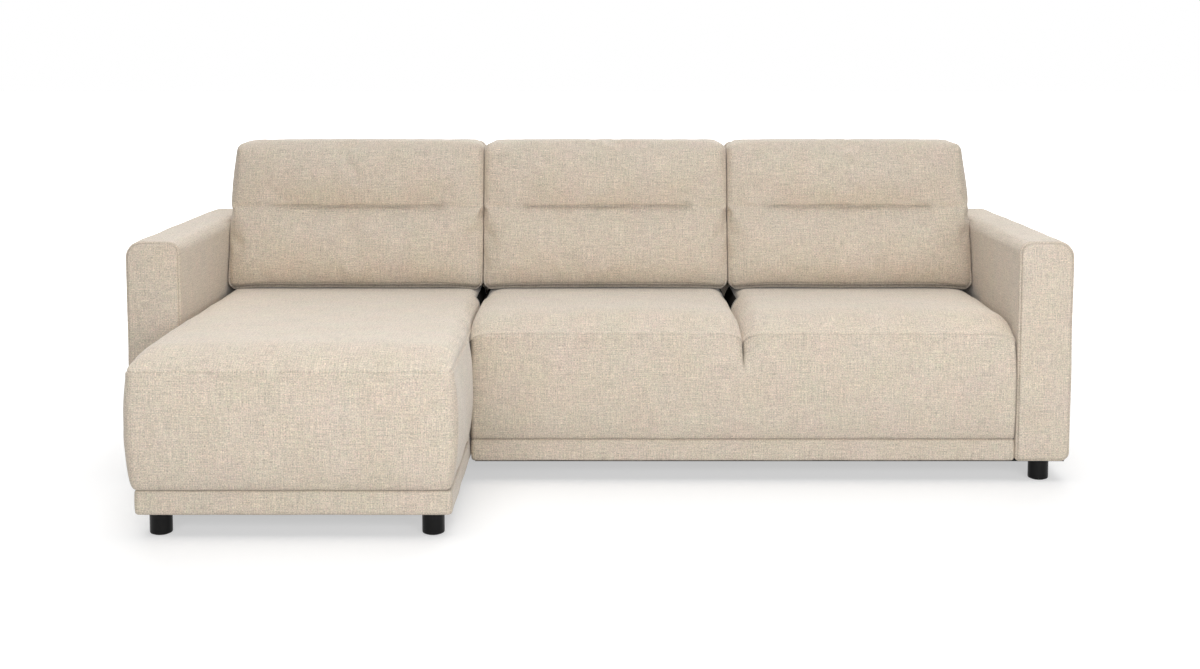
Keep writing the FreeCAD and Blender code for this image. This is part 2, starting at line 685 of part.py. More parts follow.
def back_parts(module, x0, x1, holes):
    """The ribs, rails, webbing, padding and cover of the backrest between x0 and x1."""
    c = COVER_THICKNESS
    side = 2 * c + FIT
    front, rear = back_frame_front() - Y_BACK, c + BACK_REAR_PADDING + FIT
    top = c + BACK_TOP_PADDING + FIT
    corner = BACK_CORNER - top
    rib_xs = back_bays(x0, x1)
    ribs = [back_block(x, x + RIB_THICKNESS, front, rear, top, Z_FRAME, corner) for x in rib_xs]
    size, slat = BACK_RAIL_SIZE, BACK_SLAT_THICKNESS
    y_low, y_rear = Y_BACK + front, Y_REAR - rear
    z_top = ARM_HEIGHT - top - corner
    y_top = y_low + (z_top - SEAT_TOP) * LEAN_SLOPE
    rails = []
    for left, right in zip(rib_xs, rib_xs[1:]):
        a = left + RIB_THICKNESS
        rails += [
            box(a, right, y_low, y_low + size, Z_FRAME, Z_FRAME + BACK_BOTTOM_RAIL_HEIGHT),
            box(a, right, y_low, y_low + slat, SEAT_TOP - size, SEAT_TOP),
            box(a, right, y_rear - slat, y_rear, Z_FRAME, Z_FRAME + size),
            box(a, right, y_top, y_top + size, z_top - size, z_top),
        ]
    slope = (z_top - SEAT_TOP) / math.cos(math.radians(BACK_LEAN))
    straps = []
    for n in range(STRAP_COUNT):
        up = slope * (n + 0.5) / STRAP_COUNT - STRAP_WIDTH / 2
        strap = box(x0 + side, x1 - side, -FIT - STRAP_THICKNESS, -FIT, up, up + STRAP_WIDTH)
        strap.rotate(V(0, 0, 0), V(1, 0, 0), -BACK_LEAN)
        strap.translate(V(0, y_low, SEAT_TOP))
        straps.append(strap)
    core = (c + BACK_PADDING, c + BACK_REAR_PADDING, c + BACK_TOP_PADDING)
    cavity = back_block(x0 + 2 * c, x1 - 2 * c, *core, 0.0, corner + FIT)
    skin = c + FIT
    padding = back_block(x0 + skin, x1 - skin, skin, skin, skin, Z_FRAME + skin, BACK_CORNER - skin)
    outer = back_block(x0, x1, 0.0, 0.0, 0.0, Z_FRAME, BACK_CORNER)
    inner = back_block(x0 + c, x1 - c, c, c, c, Z_FRAME + c, BACK_CORNER - c)
    return {
        module + "_back_ribs": group(ribs),
        module + "_back_rails": group([cut_all(rail, holes) for rail in rails]),
        module + "_back_webbing": group(straps),
        module + "_back_padding": cut_all(padding.cut(cavity), holes),
        module + "_back_cover": cut_all(outer.cut(inner).cut(cavity), holes),
    }


def cushion_form(x0, x1, inset):
    """A back cushion, taken in by inset: its front crowned above and below a sewn channel, all
    its edges rounded, its foot flat on the seat and its rear flat along the backrest's slope."""
    width = x1 - x0 - 2 * inset
    base = Z_CUSHION + inset
    height = OVERALL_HEIGHT - CUSHION_TOP_CROWN - inset - base
    half = CUSHION_THICKNESS / 2 - inset
    middle = Y_BACK - SOFT_FIT - CUSHION_REAR_CROWN - CUSHION_THICKNESS / 2
    channel = height * CHANNEL_HEIGHT_SHARE
    radius = CUSHION_SIDE_ROUND - inset

    def section(x, lose, crown, depth):
        """lose is what the side's rounding takes off all round, depth the channel's."""
        share = lose / radius
        edge = (CUSHION_EDGE - inset) * (1 - share / 2)
        y0, y1 = lose - half, half - lose
        v0, v1 = lose, height - lose
        lip = y0 - crown * CHANNEL_LIP_SHARE
        upper, lower = channel + CHANNEL_HALF_HEIGHT, channel - CHANNEL_HALF_HEIGHT
        return outline(
            lambda u, v: V(x, middle + u + (base + v - Z_CUSHION) * LEAN_SLOPE, base + v),
            (y0 + edge, v0),
            [
                ((y1 - edge, v0), 0.0),
                ((y1, v0 + edge), edge * CORNER_BOW),
                ((y1, v1 - edge), max(FLAT_BOW, CUSHION_REAR_CROWN * (1 - share))),
                ((y1 - edge, v1), edge * CORNER_BOW),
                ((y0 + edge, v1), max(FLAT_BOW, CUSHION_TOP_CROWN * (1 - share))),
                ((y0, v1 - edge), edge * CORNER_BOW),
                ((lip, upper), crown / 2),
                ((lip, lower), -depth),
                ((y0, v0 + edge), crown / 2),
            ],
            edge * CORNER_BOW,
        )

    def swell(x):
        """The crown at x: full in the middle and CUSHION_END_CROWN where the sides turn in."""
        out = 2 * (x - x0) / (x1 - x0) - 1
        return CUSHION_END_CROWN + (CUSHION_CROWN - CUSHION_END_CROWN) * (1 - out * out)

    turn = [(radius * a, radius * lost) for a, lost in quarter_turn()]
    left, right = x0 + inset, x1 - inset
    reach = width * CHANNEL_LENGTH_SHARE / 2
    centre = (x0 + x1) / 2
    wires = [section(left + a, lost, CUSHION_END_CROWN, FLAT_BOW) for a, lost in turn]
    half_run = [-reach - CHANNEL_RUN_OUT, -reach, -reach / 2]
    for out in half_run + [0.0] + [-out for out in half_run[::-1]]:
        depth = CHANNEL_DEPTH if abs(out) <= reach else FLAT_BOW
        wires.append(section(centre + out, 0.0, swell(centre + out), depth))
    wires += [section(right - a, lost, CUSHION_END_CROWN, FLAT_BOW) for a, lost in turn[::-1]]
    return loft(wires)


def cushion_parts(name, x0, x1):
    """A cushion's cover, as a closed shell, and the filled core inside it."""
    cover = cushion_form(x0, x1, 0.0).cut(cushion_form(x0, x1, COVER_THICKNESS))
    core = cushion_form(x0, x1, COVER_THICKNESS + FIT)
    return {name + "_cushion_cover": cover, name + "_cushion_core": core}


def plate_screws(face_x, side, y, z):
    """Two screws through a connector plate's ends into the rail behind: side is where they go."""
    screws, ways = [], []
    reach = (PLATE_WIDTH + POCKET_WIDTH) / 4
    for end in (-reach, reach):
        start = (face_x, y + end, z)
        head = rod(start, (-side, 0, 0), SCREW_HEAD_HEIGHT, SCREW_HEAD_RADIUS)
        screws.append(head.fuse(rod(start, (side, 0, 0), SCREW_LENGTH, SCREW_RADIUS)))
        ways.append(rod(start, (side, 0, 0), SCREW_LENGTH + FIT, SCREW_RADIUS + THREAD_CLEARANCE))
    return screws, ways


def connector_places():
    return [Y_ARM + CONNECTOR_FRONT_INSET, Y_BACK - CONNECTOR_REAR_INSET]


def connector_pocket(y):
    """The chaise's half of a connector: a plate with a bridge that makes a pocket."""
    t, z0, z1 = PLATE_THICKNESS, Z_CONNECTOR, Z_CONNECTOR + POCKET_HEIGHT
    x0 = X_CHAISE_SIDE
    bridge_x = x0 + MODULE_GAP / 2 + FIT
    cheek = (POCKET_WIDTH - TONGUE_WIDTH) / 2 - 2 * FIT
    y0, y1 = y - POCKET_WIDTH / 2, y + POCKET_WIDTH / 2
    plate = box(x0, x0 + t, y - PLATE_WIDTH / 2, y + PLATE_WIDTH / 2, z0, z1)
    bridge = box(bridge_x, bridge_x + BRIDGE_THICKNESS, y0, y1, z0, z1)
    near = box(x0 + t, bridge_x, y0, y0 + cheek, z0, z1)
    far = box(x0 + t, bridge_x, y1 - cheek, y1, z0, z1)
    screws, ways = plate_screws(x0 + t, -1, y, (z0 + z1) / 2)
    return cut_all(plate.fuse([bridge, near, far]).removeSplitter(), ways), screws, ways


def connector_hook(y):
    """The other half: a plate whose tongue stands off it and hangs in the pocket."""
    t, z0 = PLATE_THICKNESS, Z_CONNECTOR
    x1 = X_LOVESEAT_SIDE
    low = z0 + POCKET_HEIGHT + FIT
    tongue_x0 = X_CHAISE_SIDE + t + FIT
    tongue_x1 = X_CHAISE_SIDE + MODULE_GAP / 2
    y0, y1 = y - TONGUE_WIDTH / 2, y + TONGUE_WIDTH / 2
    plate = box(x1 - t, x1, y - PLATE_WIDTH / 2, y + PLATE_WIDTH / 2, low, low + PLATE_HEIGHT)
    shelf = box(tongue_x0, x1 - t, y0, y1, low, low + t)
    tongue = box(tongue_x0, tongue_x1, y0, y1, z0 + TONGUE_FLOOR, low)
    screws, ways = plate_screws(x1 - t, 1, y, low + PLATE_HEIGHT / 2)
    return cut_all(plate.fuse([shelf, tongue]).removeSplitter(), ways), screws, ways


def connector_set(half):
    """Both connectors' halves on one module: the plates, their screws and the screws' ways."""
    plates, screws, ways = [], [], []
    for y in connector_places():
        plate, plate_screw, plate_way = half(y)
        plates.append(plate)
        screws += plate_screw
        ways += plate_way
    return plates, screws, ways


def module_parts(name, base, side, arm_x0, back_span, springs_along_x, half):
    """What both modules share: base, feet, springs, arm, backrest and connector plates."""
    bolts, arm_ways = arm_bolts(base, side)
    rear_bolts, rear_ways = back_bolts(base, *back_span)
    plates, screws, plate_ways = connector_set(half)
    feet = base.feet + arm_feet(arm_x0)
    springs, clips = spring_set(base, springs_along_x)
    parts = {
        name + "_base_rails": base_rails(base, arm_ways + plate_ways, rear_ways),
        name + "_cross_rails": cross_rails(base, springs_along_x),
        name + "_foot_blocks": foot_blocks(base),
        name + "_springs": springs,
        name + "_spring_clips": clips,
        name + "_spring_felt": spring_felt(base),
        name + "_base_band": base_band(base, arm_ways + plate_ways),
        name + "_feet": group([foot(*f) for f in feet]),
        name + "_foot_glides": group([foot_glide(*f) for f in feet]),
        name + "_foot_bolts": group([foot_bolt(*f) for f in feet]),
        name + "_foot_nuts": group([foot_nut(*f) for f in feet]),
        name + "_dust_cover": dust_cover(base, arm_x0, feet),
        name + "_frame_bolts": group(bolts + rear_bolts),
        name + "_connector_plates": group(plates),
        name + "_connector_screws": group(screws),
    }
    parts.update(arm_parts("left" if side < 0 else "right", arm_x0, arm_ways))
    parts.update(back_parts(name, *back_span, rear_ways))
    return parts, arm_ways


def chaise_parts():
    """Every sub-part of the chaise module, by name."""
    base = chaise_base()
    span = (X_LEFT_ARM + FIT, X_CHAISE_SIDE)
    parts, ways = module_parts("chaise", base, -1, X_LEFT, span, True, connector_pocket)
    cover = chaise_form(0.0).cut(chaise_form(COVER_THICKNESS))
    parts["chaise_seat_cover"] = cover.cut(base.over(Z_FOAM - FIT))
    parts["chaise_seat_foam"] = chaise_form(COVER_THICKNESS + FIT).cut(base.over(Z_FOAM))
    parts["left_arm_cleat"] = arm_cleat(base, ways)
    return parts


def loveseat_parts():
    """Every sub-part of the two-seat module, by name."""
    base = loveseat_base()
    span = (X_LOVESEAT_SIDE, X_RIGHT_ARM - FIT)
    arm_x0 = X_RIGHT_ARM
    parts, ways = module_parts("loveseat", base, 1, arm_x0, span, False, connector_hook)
    x0, x1 = X_JOIN + SOFT_FIT, X_RIGHT_ARM - SOFT_FIT
    c = COVER_THICKNESS
    cores = {
        "left": ([x0 + c, X_SPLIT - c / 2], [END_PULL, CREASE_PULL]),
        "right": ([X_SPLIT + c / 2, x1 - c], [CREASE_PULL, END_PULL]),
    }
    cover = seat_form([x0, X_SPLIT, x1], [END_PULL, CREASE_PULL, END_PULL], 0.0)
    for side, (edges, pulls) in cores.items():
        cover = cover.cut(seat_form(edges, pulls, c))
        inside = [edges[0] + FIT, edges[1] - FIT]
        foam = seat_form(inside, pulls, c + FIT)
        parts[side + "_seat_foam"] = foam.cut(base.over(Z_FOAM))
    parts["loveseat_seat_cover"] = cover.cut(base.over(Z_FOAM - FIT))
    return parts


def back_cushion_parts():
    """The three loose back cushions."""
    gap = CUSHION_GAP / 2
    spans = {
        "left": (X_LEFT_ARM + CUSHION_GAP, X_JOIN - gap),
        "middle": (X_JOIN + gap, X_SPLIT - gap),
        "right": (X_SPLIT + gap, X_RIGHT_ARM - CUSHION_GAP),
    }
    parts = {}
    for name, span in spans.items():
        parts.update(cushion_parts(name, *span))
    return parts


def main():
    os.makedirs("parts", exist_ok=True)
    parts = {**chaise_parts(), **loveseat_parts(), **back_cushion_parts()}
    for name, shape in parts.items():
        litres = sum(s.Volume for s in shape.Solids) / 1e6
        print(f"{name}: {len(shape.Solids)} solids, {litres:.3f} litres, valid {shape.isValid()}")
        shape.exportStep(f"parts/{name}.step")


main()
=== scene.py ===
import itertools
import math
from types import SimpleNamespace

import bpy
import numpy as np
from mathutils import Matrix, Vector

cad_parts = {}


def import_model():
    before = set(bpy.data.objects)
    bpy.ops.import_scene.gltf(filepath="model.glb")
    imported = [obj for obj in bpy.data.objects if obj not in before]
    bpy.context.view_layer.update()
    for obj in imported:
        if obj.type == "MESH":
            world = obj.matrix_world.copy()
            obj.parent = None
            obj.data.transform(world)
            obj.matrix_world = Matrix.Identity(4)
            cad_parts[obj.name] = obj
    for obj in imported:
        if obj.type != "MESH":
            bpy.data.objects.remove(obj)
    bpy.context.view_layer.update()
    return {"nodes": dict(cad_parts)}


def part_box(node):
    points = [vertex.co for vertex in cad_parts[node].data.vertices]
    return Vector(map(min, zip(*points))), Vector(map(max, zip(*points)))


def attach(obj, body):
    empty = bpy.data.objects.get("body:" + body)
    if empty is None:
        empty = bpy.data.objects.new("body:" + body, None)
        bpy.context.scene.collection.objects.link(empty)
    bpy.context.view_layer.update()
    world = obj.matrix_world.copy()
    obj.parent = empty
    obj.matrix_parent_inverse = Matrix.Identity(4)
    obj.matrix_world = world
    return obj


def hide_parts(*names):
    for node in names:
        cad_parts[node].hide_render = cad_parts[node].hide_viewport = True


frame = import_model()

# Lengths are in millimetres up to the point where a mesh is made
MM = 0.001

# Places that the frame's own pieces share
FRAME_Z = 56.0
BAND_TOP = 116.0
SEAM_Z = 403.0
SEAT_Z = 447.0
ARM_TOP = 650.0
ARM_WIDTH = 146.0
X_LEFT, X_RIGHT = -1260.0, 1260.0
X_LEFT_ARM, X_RIGHT_ARM = X_LEFT + ARM_WIDTH, X_RIGHT - ARM_WIDTH
X_JOIN = -350.0
X_SPLIT = 382.0
Y_NOSE, Y_REAR = -712.5, 712.5
Y_ARM = -192.5
Y_BACK = 490.5
Y_SEAT_REAR = 490.0
Y_CUSHION = 264.5
LEAN = math.tan(math.radians(12.5))


# Numbers and curves


def lines(stops, step, fine=(), least=2.0, growth=0.3):
    """Places from the first to the last of stops, each stop among them: step apart, and closer
    near each place of fine."""
    places = [float(stops[0])]
    for a, b in zip(stops, stops[1:]):
        t = np.linspace(a, b, max(3, int((b - a) / 0.4)))
        gap = np.full(t.shape, float(step))
        for place in fine:
            gap = np.minimum(gap, least + growth * np.abs(t - place))
        rate = 1 / gap
        total = np.concatenate([[0], np.cumsum((rate[1:] + rate[:-1]) / 2 * np.diff(t))])
        count = max(1, round(total[-1]))
        places += list(np.interp(np.linspace(0, total[-1], count + 1)[1:], total, t))
    return np.array(places)


def smooth(x, a, b):
    """0 up to a, 1 from b on, and a smooth step between them."""
    t = np.clip((x - a) / (b - a), 0, 1)
    return t * t * (3 - 2 * t)


def unit(x):
    """x, kept between 0 and 1."""
    return np.clip(x, 0, 1)


def bell(x, width):
    """1 at 0, and down to nothing over about twice the width on each side."""
    return np.exp(-((x / width) ** 2))


def curve(x, knots):
    """A smooth curve through knots, (x, y) pairs, that doesn't overshoot between them."""
    kx, ky = np.array(knots, float).T
    h, d = np.diff(kx), np.diff(ky) / np.diff(kx)
    m = np.zeros(len(kx))
    same = d[:-1] * d[1:] > 0
    w1, w2 = 2 * h[1:] + h[:-1], h[1:] + 2 * h[:-1]
    inner = np.zeros(len(d) - 1)
    inner[same] = (w1 + w2)[same] / (w1[same] / d[:-1][same] + w2[same] / d[1:][same])
    m[1:-1] = inner
    m[0], m[-1] = d[0], d[-1]
    x = np.clip(x, kx[0], kx[-1])
    n = np.clip(np.searchsorted(kx, x, side="right") - 1, 0, len(h) - 1)
    t = (x - kx[n]) / h[n]
    a = (1 + 2 * t) * (1 - t) ** 2 * ky[n] + t * (1 - t) ** 2 * h[n] * m[n]
    return a + t * t * (3 - 2 * t) * ky[n + 1] + t * t * (t - 1) * h[n] * m[n + 1]


def ripple(points, wavelength, seed, waves=14):
    """Soft irregular noise, about -1 to 1, whose bumps are about a wavelength apart."""
    rng = np.random.default_rng(seed)
    total = np.zeros(len(points))
    for _ in range(waves):
        way = rng.normal(size=3)
        way /= np.linalg.norm(way)
        length = wavelength * rng.uniform(0.7, 1.6)
        total += np.sin(points @ way * (2 * math.pi / length) + rng.uniform(0, 2 * math.pi))
    return total / math.sqrt(waves / 2) / 1.8


# Meshes on a box lattice


class Lattice:
    """The surface of a box on three sets of grid lines: its points as p, their places on the lines
    as at, which points are on each side, its quads, which side each quad is on, and a flat layout
    of the cloth over it, in millimetres, as uv."""

    # The axis each side is across, whether it is at the far end, and which way its quads turn
    SIDES = {
        "front": (1, False, 1),
        "rear": (1, True, -1),
        "left": (0, False, -1),
        "right": (0, True, 1),
        "top": (2, True, 1),
        "bottom": (2, False, -1),
    }

    def __init__(self, xs, ys, zs):
        self.xs, self.ys, self.zs = (np.asarray(a, float) for a in (xs, ys, zs))
        counts = (len(xs), len(ys), len(zs))
        quads, sides = [], []
        for number, (axis, far, turn) in enumerate(self.SIDES.values()):
            spans = [np.arange(count - 1) for count in counts]
            del spans[axis]
            a, b = (g.ravel() for g in np.meshgrid(*spans, indexing="ij"))
            ring = [[a, b], [a + 1, b], [a + 1, b + 1], [a, b + 1]][::turn]
            for corner in ring:
                corner.insert(axis, np.full(len(a), far * (counts[axis] - 1)))
            keys = [np.ravel_multi_index(tuple(corner), counts) for corner in ring]
            quads.append(np.stack(keys, 1))
            sides.append(np.full(len(a), number))
        keys = np.concatenate(quads)
        self.side = np.concatenate(sides)
        unique, index = np.unique(keys, return_inverse=True)
        self.quads = index.reshape(keys.shape)
        self.at = i, j, k = np.unravel_index(unique, counts)
        self.p = np.stack([self.xs[i], self.ys[j], self.zs[k]], 1)
        self.on = {
            name: self.at[axis] == far * (counts[axis] - 1)
            for name, (axis, far, _) in self.SIDES.items()
        }
        self.uv = self._layout()

    def _layout(self):
        """The cloth runs up the front and over the top, and round from the front to the sides."""
        x, y, z = np.moveaxis(self.p[self.quads], 2, 0)
        left, right, depth = self.xs[0], self.xs[-1], self.ys[-1] - self.ys[0]
        back = y - self.ys[0]
        layouts = (
            (x, z),
            (2 * right - x + depth, z),
            (left - back, z),
            (right + back, z),
            (x, self.zs[-1] + back),
            (x, self.zs[0] - back),
        )
        uv = np.zeros(self.quads.shape + (2,))
        for number, layout in enumerate(layouts):
            here = self.side == number
            uv[here] = np.stack(layout, 2)[here]
        return uv


def normals_of(points, quads):
    """The surface's outward direction at each point."""
    across = np.cross(
        points[quads[:, 2]] - points[quads[:, 0]], points[quads[:, 3]] - points[quads[:, 1]]
    )
    total = np.zeros_like(points)
    for n in range(4):
        np.add.at(total, quads[:, n], across)
    return total / np.maximum(np.linalg.norm(total, axis=1), 1e-9)[:, None]


def cubic_weights(few, many):
    """How much each of the even places few counts in a smooth curve's value at each of many."""
    t = (many - few[0]) / (few[1] - few[0])
    n = np.clip(t.astype(int), 0, len(few) - 2)
    f = t - n
    parts = (
        -0.5 * f + f**2 - 0.5 * f**3,
        1 - 2.5 * f**2 + 1.5 * f**3,
        0.5 * f + 2 * f**2 - 1.5 * f**3,
        -0.5 * f**2 + 0.5 * f**3,
    )
    table = np.zeros((len(many), len(few)))
    rows = np.arange(len(many))
    for offset, part in zip((-1, 0, 1, 2), parts):
        np.add.at(table, (rows, np.clip(n + offset, 0, len(few) - 1)), part)
    return table


def carried(values, coarse, fine):
    """Values at the points of an even lattice, carried over smoothly to a finer one's points."""
    full = np.zeros((len(coarse.xs), len(coarse.ys), len(coarse.zs), 3))
    full[coarse.at] = values
    pairs = ((coarse.xs, fine.xs), (coarse.ys, fine.ys), (coarse.zs, fine.zs))
    for axis, (few, many) in enumerate(pairs):
        full = np.tensordot(cubic_weights(few, many), full, (1, axis))
        full = np.moveaxis(full, 0, axis)
    return full[fine.at]


def in_scene(name, data):
    obj = bpy.data.objects.new(name, data)
    bpy.context.scene.collection.objects.link(obj)
    return obj


def mesh_object(name, points, shape, shift=0.0, painted_shade=None):
    """A smooth-shaded mesh of points in millimetres with the quads and the cloth layout of shape,
    the layout moved by shift metres. The painted shade values, 0 to 1, say how far the colour at
    each point is darkened towards near-black: shade painted into folds, seams and gaps."""
    quads = shape.quads
    mesh = bpy.data.meshes.new(name)
    mesh.vertices.add(len(points))
    mesh.vertices.foreach_set("co", (points * MM).astype(np.float32).ravel())
    mesh.loops.add(quads.size)
    mesh.loops.foreach_set("vertex_index", quads.astype(np.int32).ravel())
    mesh.polygons.add(len(quads))
    mesh.polygons.foreach_set("loop_start", np.arange(0, quads.size, 4, dtype=np.int32))
    mesh.update(calc_edges=True)
    mesh.polygons.foreach_set("use_smooth", np.ones(len(quads), bool))
    layer = mesh.uv_layers.new(name="cloth")
    layer.data.foreach_set("uv", (shape.uv * MM + shift).astype(np.float32).ravel())
    # Painted shade, one value per point, stored for the material to darken the colour
    depth = np.zeros(len(points)) if painted_shade is None else unit(painted_shade)
    painted_shade_layer = mesh.attributes.new("painted_shade", "FLOAT", "POINT")
    painted_shade_layer.data.foreach_set("value", depth.astype(np.float32))
    mesh.validate()
    return in_scene(name, mesh)


def points_of(obj):
    co = np.zeros(len(obj.data.vertices) * 3, np.float32)
    obj.data.vertices.foreach_get("co", co)
    return co.reshape(-1, 3).astype(float) / MM


def rounded_bar(p, low, high, along, corners, end_round):
    """Points p of a box lattice, moved onto a bar that runs along one axis: its section has the
    corner radii given for (low, low), (high, low), (low, high), (high, high) of the other two
    axes, and its ends are rounded by end_round."""
    a, b = [n for n in range(3) if n != along]
    q = p.copy()
    from_low, from_high = p[:, along] - low[along], high[along] - p[:, along]
    end = np.minimum(from_low, from_high)
    half, centre = (high - low)[[a, b]] / 2, (high + low)[[a, b]] / 2
    s = p[:, [a, b]] - centre
    edge = (half - np.abs(s)).min(1)
    cap = end < 1e-6
    turn = np.where(cap, 45 * (1 - unit(edge / end_round)), 45 + 45 * unit(end / end_round))
    turn = np.radians(turn)
    inset = end_round * (1 - np.sin(turn))
    inset = np.where(cap & (edge > end_round), edge, inset)
    back = np.where(~cap & (end > end_round), end, end_round * (1 - np.cos(turn)))
    keep = np.where(cap, edge, 0)
    s = s * ((half - inset[:, None]) / np.maximum(half - keep[:, None], 1e-6))
    radius = np.array(corners)[(s[:, 0] >= 0) + 2 * (s[:, 1] >= 0)]
    d = np.abs(s) - (half - radius[:, None])
    bend = (d > 0).all(1)
    scale = np.ones(len(p))
    scale[bend] = d[bend].max(1) / np.linalg.norm(d[bend], axis=1)
    out = np.where(bend[:, None], half - radius[:, None] + d * scale[:, None], np.abs(s))
    s = np.sign(s) * out
    q[:, [a, b]] = s + centre
    q[:, along] = np.where(from_low <= from_high, low[along] + back, high[along] - back)
    return q


# Materials


def srgb(*levels):
    """A colour as a picture shows it, 0 to 255, in linear light."""
    parts = [c / 255 for c in levels]
    return (*(c / 12.92 if c <= 0.04045 else ((c + 0.055) / 1.055) ** 2.4 for c in parts), 1.0)


class Nodes:
    """Short calls to build a node tree."""

    def __init__(self, tree):
        self.tree = tree

    def node(self, kind, settings=None, **inputs):
        n = self.tree.nodes.new("ShaderNode" + kind)
        for key, value in (settings or {}).items():
            setattr(n, key, value)
        for key, value in inputs.items():
            self.feed(n.inputs[key.replace("_", " ")], value)
        return n

    def feed(self, socket, value):
        if isinstance(value, bpy.types.NodeSocket):
            self.tree.links.new(value, socket)
        else:
            socket.default_value = value

    def math(self, operation, a, b=0.0):
        n = self.node("Math", {"operation": operation})
        self.feed(n.inputs[0], a)
        self.feed(n.inputs[1], b)
        return n.outputs[0]

    def add_scaled(self, start, value, factor):
        """start, plus value times factor."""
        n = self.node("Math", {"operation": "MULTIPLY_ADD"})
        for socket, part in zip(n.inputs, (value, factor, start)):
            self.feed(socket, part)
        return n.outputs[0]

    def scaled(self, vector, scale):
        return self.node("Mapping", Vector=vector, Scale=scale).outputs["Vector"]

    def noise(self, vector, scale=1.0, detail=2.0, dimensions="3D"):
        settings = {"noise_dimensions": dimensions}
        n = self.node("TexNoise", settings, Vector=vector, Scale=scale, Detail=detail)
        return n.outputs["Fac"]

    def ramp(self, value, *stops):
        n = self.node("ValToRGB", Fac=value)
        elements = n.color_ramp.elements
        while len(elements) > 2:
            elements.remove(elements[-1])
        while len(elements) < len(stops):
            elements.new(0.5)
        for element, (place, colour) in zip(elements, stops):
            element.position = place
            element.color = colour
        return n.outputs["Color"]

    def grey(self, value, low, high, dark=0.0, light=1.0):
        return self.ramp(value, (low, (dark,) * 3 + (1,)), (high, (light,) * 3 + (1,)))

    def tones(self, value, dark, light, low=0.3, high=0.7):
        """Between two colours, each as a picture shows it, for a value from low to high."""
        return self.ramp(value, (low, srgb(*dark)), (high, srgb(*light)))

    def place(self):
        return self.node("TexCoord").outputs["Object"]

    def mix(self, factor, a, b, blend="MIX"):
        n = self.node("Mix", {"data_type": "RGBA", "blend_type": blend})
        self.feed(n.inputs[0], factor)
        self.feed(n.inputs[6], a)
        self.feed(n.inputs[7], b)
        return n.outputs[2]


class Surface(Nodes):
    """A material around its Principled shader. The fixed inputs are the same all over it."""

    def __init__(self, name, roughness, metallic=0.0, **fixed):
        self.material = bpy.data.materials.new(name)
        self.material.use_nodes = True
        super().__init__(self.material.node_tree)
        self.shader = self.tree.nodes["Principled BSDF"]
        fixed.update(Roughness=roughness, Metallic=metallic)
        for key, value in fixed.items():
            self.shader.inputs[key.replace("_", " ")].default_value = value

    def colour(self, value):
        self.feed(self.shader.inputs["Base Color"], value)

    def rough(self, value):
        self.feed(self.shader.inputs["Roughness"], value)

    def bump(self, height, distance, strength=1.0):
        n = self.node("Bump", Height=height, Distance=distance, Strength=strength)
        self.feed(self.shader.inputs["Normal"], n.outputs["Normal"])


CLOTH_COLOUR = srgb(214, 201, 184)
SLUB_CONTRAST = 0.34
PATCH_CONTRAST = 0.06
THREAD_PITCH = 0.0021


def woven_upholstery():
    """A plain weave in mixed natural yarns: slubs that run along both threads, tints that change
    from yarn to yarn, and soft patches. Shade is painted into creases, seams and gaps: the colour
    is mixed towards near-black where the painted shade attribute says."""
    m = Surface(
        "upholstery_weave",
        roughness=0.85,
        Sheen_Weight=0.5,
        Sheen_Roughness=0.36,
        Sheen_Tint=srgb(252, 250, 247),
        Specular_IOR_Level=0.2,
    )
    cloth = m.node("UVMap", {"uv_map": "cloth"}).outputs["UV"]
    split = m.node("SeparateXYZ", Vector=cloth)
    across, up = split.outputs["X"], split.outputs["Y"]

    def thread(long, thin, off):
        """Noise that is long along the weft, and again along the warp, both moved by off."""
        ways = ((long, thin, 1), (off, 2 * off, 0)), ((thin, long, 1), (3 * off, off, 0))
        maps = [m.node("Mapping", Vector=cloth, Scale=way, Location=move) for way, move in ways]
        return m.math("ADD", *(m.noise(n.outputs[0], 1.0, 0.0, "2D") for n in maps))

    slubs = m.math("MULTIPLY", m.math("ADD", thread(14, 540, 1.3), thread(48, 580, 4.1)), 0.75)
    slubs = m.add_scaled(slubs, thread(210, 640, 7.7), 1.5)
    patches = [m.noise(m.scaled(cloth, (*size, 1)), dimensions="2D") for size in ((24, 30), (7, 6))]
    patches = m.math("ADD", *patches)
    light = m.add_scaled(1 - 3.0 * SLUB_CONTRAST - PATCH_CONTRAST, slubs, SLUB_CONTRAST)
    light = m.math("ADD", light, m.math("MULTIPLY", patches, PATCH_CONTRAST))

    pitch = 2 * math.pi / THREAD_PITCH
    row = m.math("SINE", m.math("MULTIPLY", up, pitch))
    column = m.math("SINE", m.math("MULTIPLY", across, pitch))
    over_under = m.add_scaled(0.5, m.math("MULTIPLY", row, column), 0.5)

    def tint(fine, coarse, first, last):
        """From the first colour to the last, from yarn to yarn and from patch to patch."""
        value = m.add_scaled(m.add_scaled(0.15, thread(*fine), 0.25), thread(*coarse), 0.10)
        return m.mix(m.grey(value, 0.3, 0.7), first, last)

    yarn = tint((36, 540, 11.9), (9, 14, 13.1), (0.955, 1.034, 0.995, 1), (1.045, 0.966, 1.005, 1))
    straw = tint((54, 560, 17.3), (12, 10, 19.7), (0.996, 0.996, 1.05, 1), (1.004, 1.004, 0.95, 1))
    for layer in (straw, CLOTH_COLOUR, light, m.grey(over_under, 0.0, 1.0, 0.96, 1.04)):
        yarn = m.mix(1.0, yarn, layer, "MULTIPLY")
    painted_shade = m.node("Attribute", {"attribute_name": "painted_shade"}).outputs["Fac"]
    # Painted shade: the colour is mixed towards near-black srgb(24, 20, 17) by the painted shade
    # attribute, standing in for the shadow in folds, seams and gaps
    m.colour(m.mix(painted_shade, yarn, srgb(24, 20, 17)))
    height = m.math("ADD", m.math("MULTIPLY", slubs, 0.3), m.math("MULTIPLY", over_under, 0.3))
    m.bump(height, 0.001, 0.5)
    return m.material


def local_noise(m, scale, detail=3.0, stretch=(1, 1, 1)):
    return m.noise(m.scaled(m.place(), stretch), scale, detail)


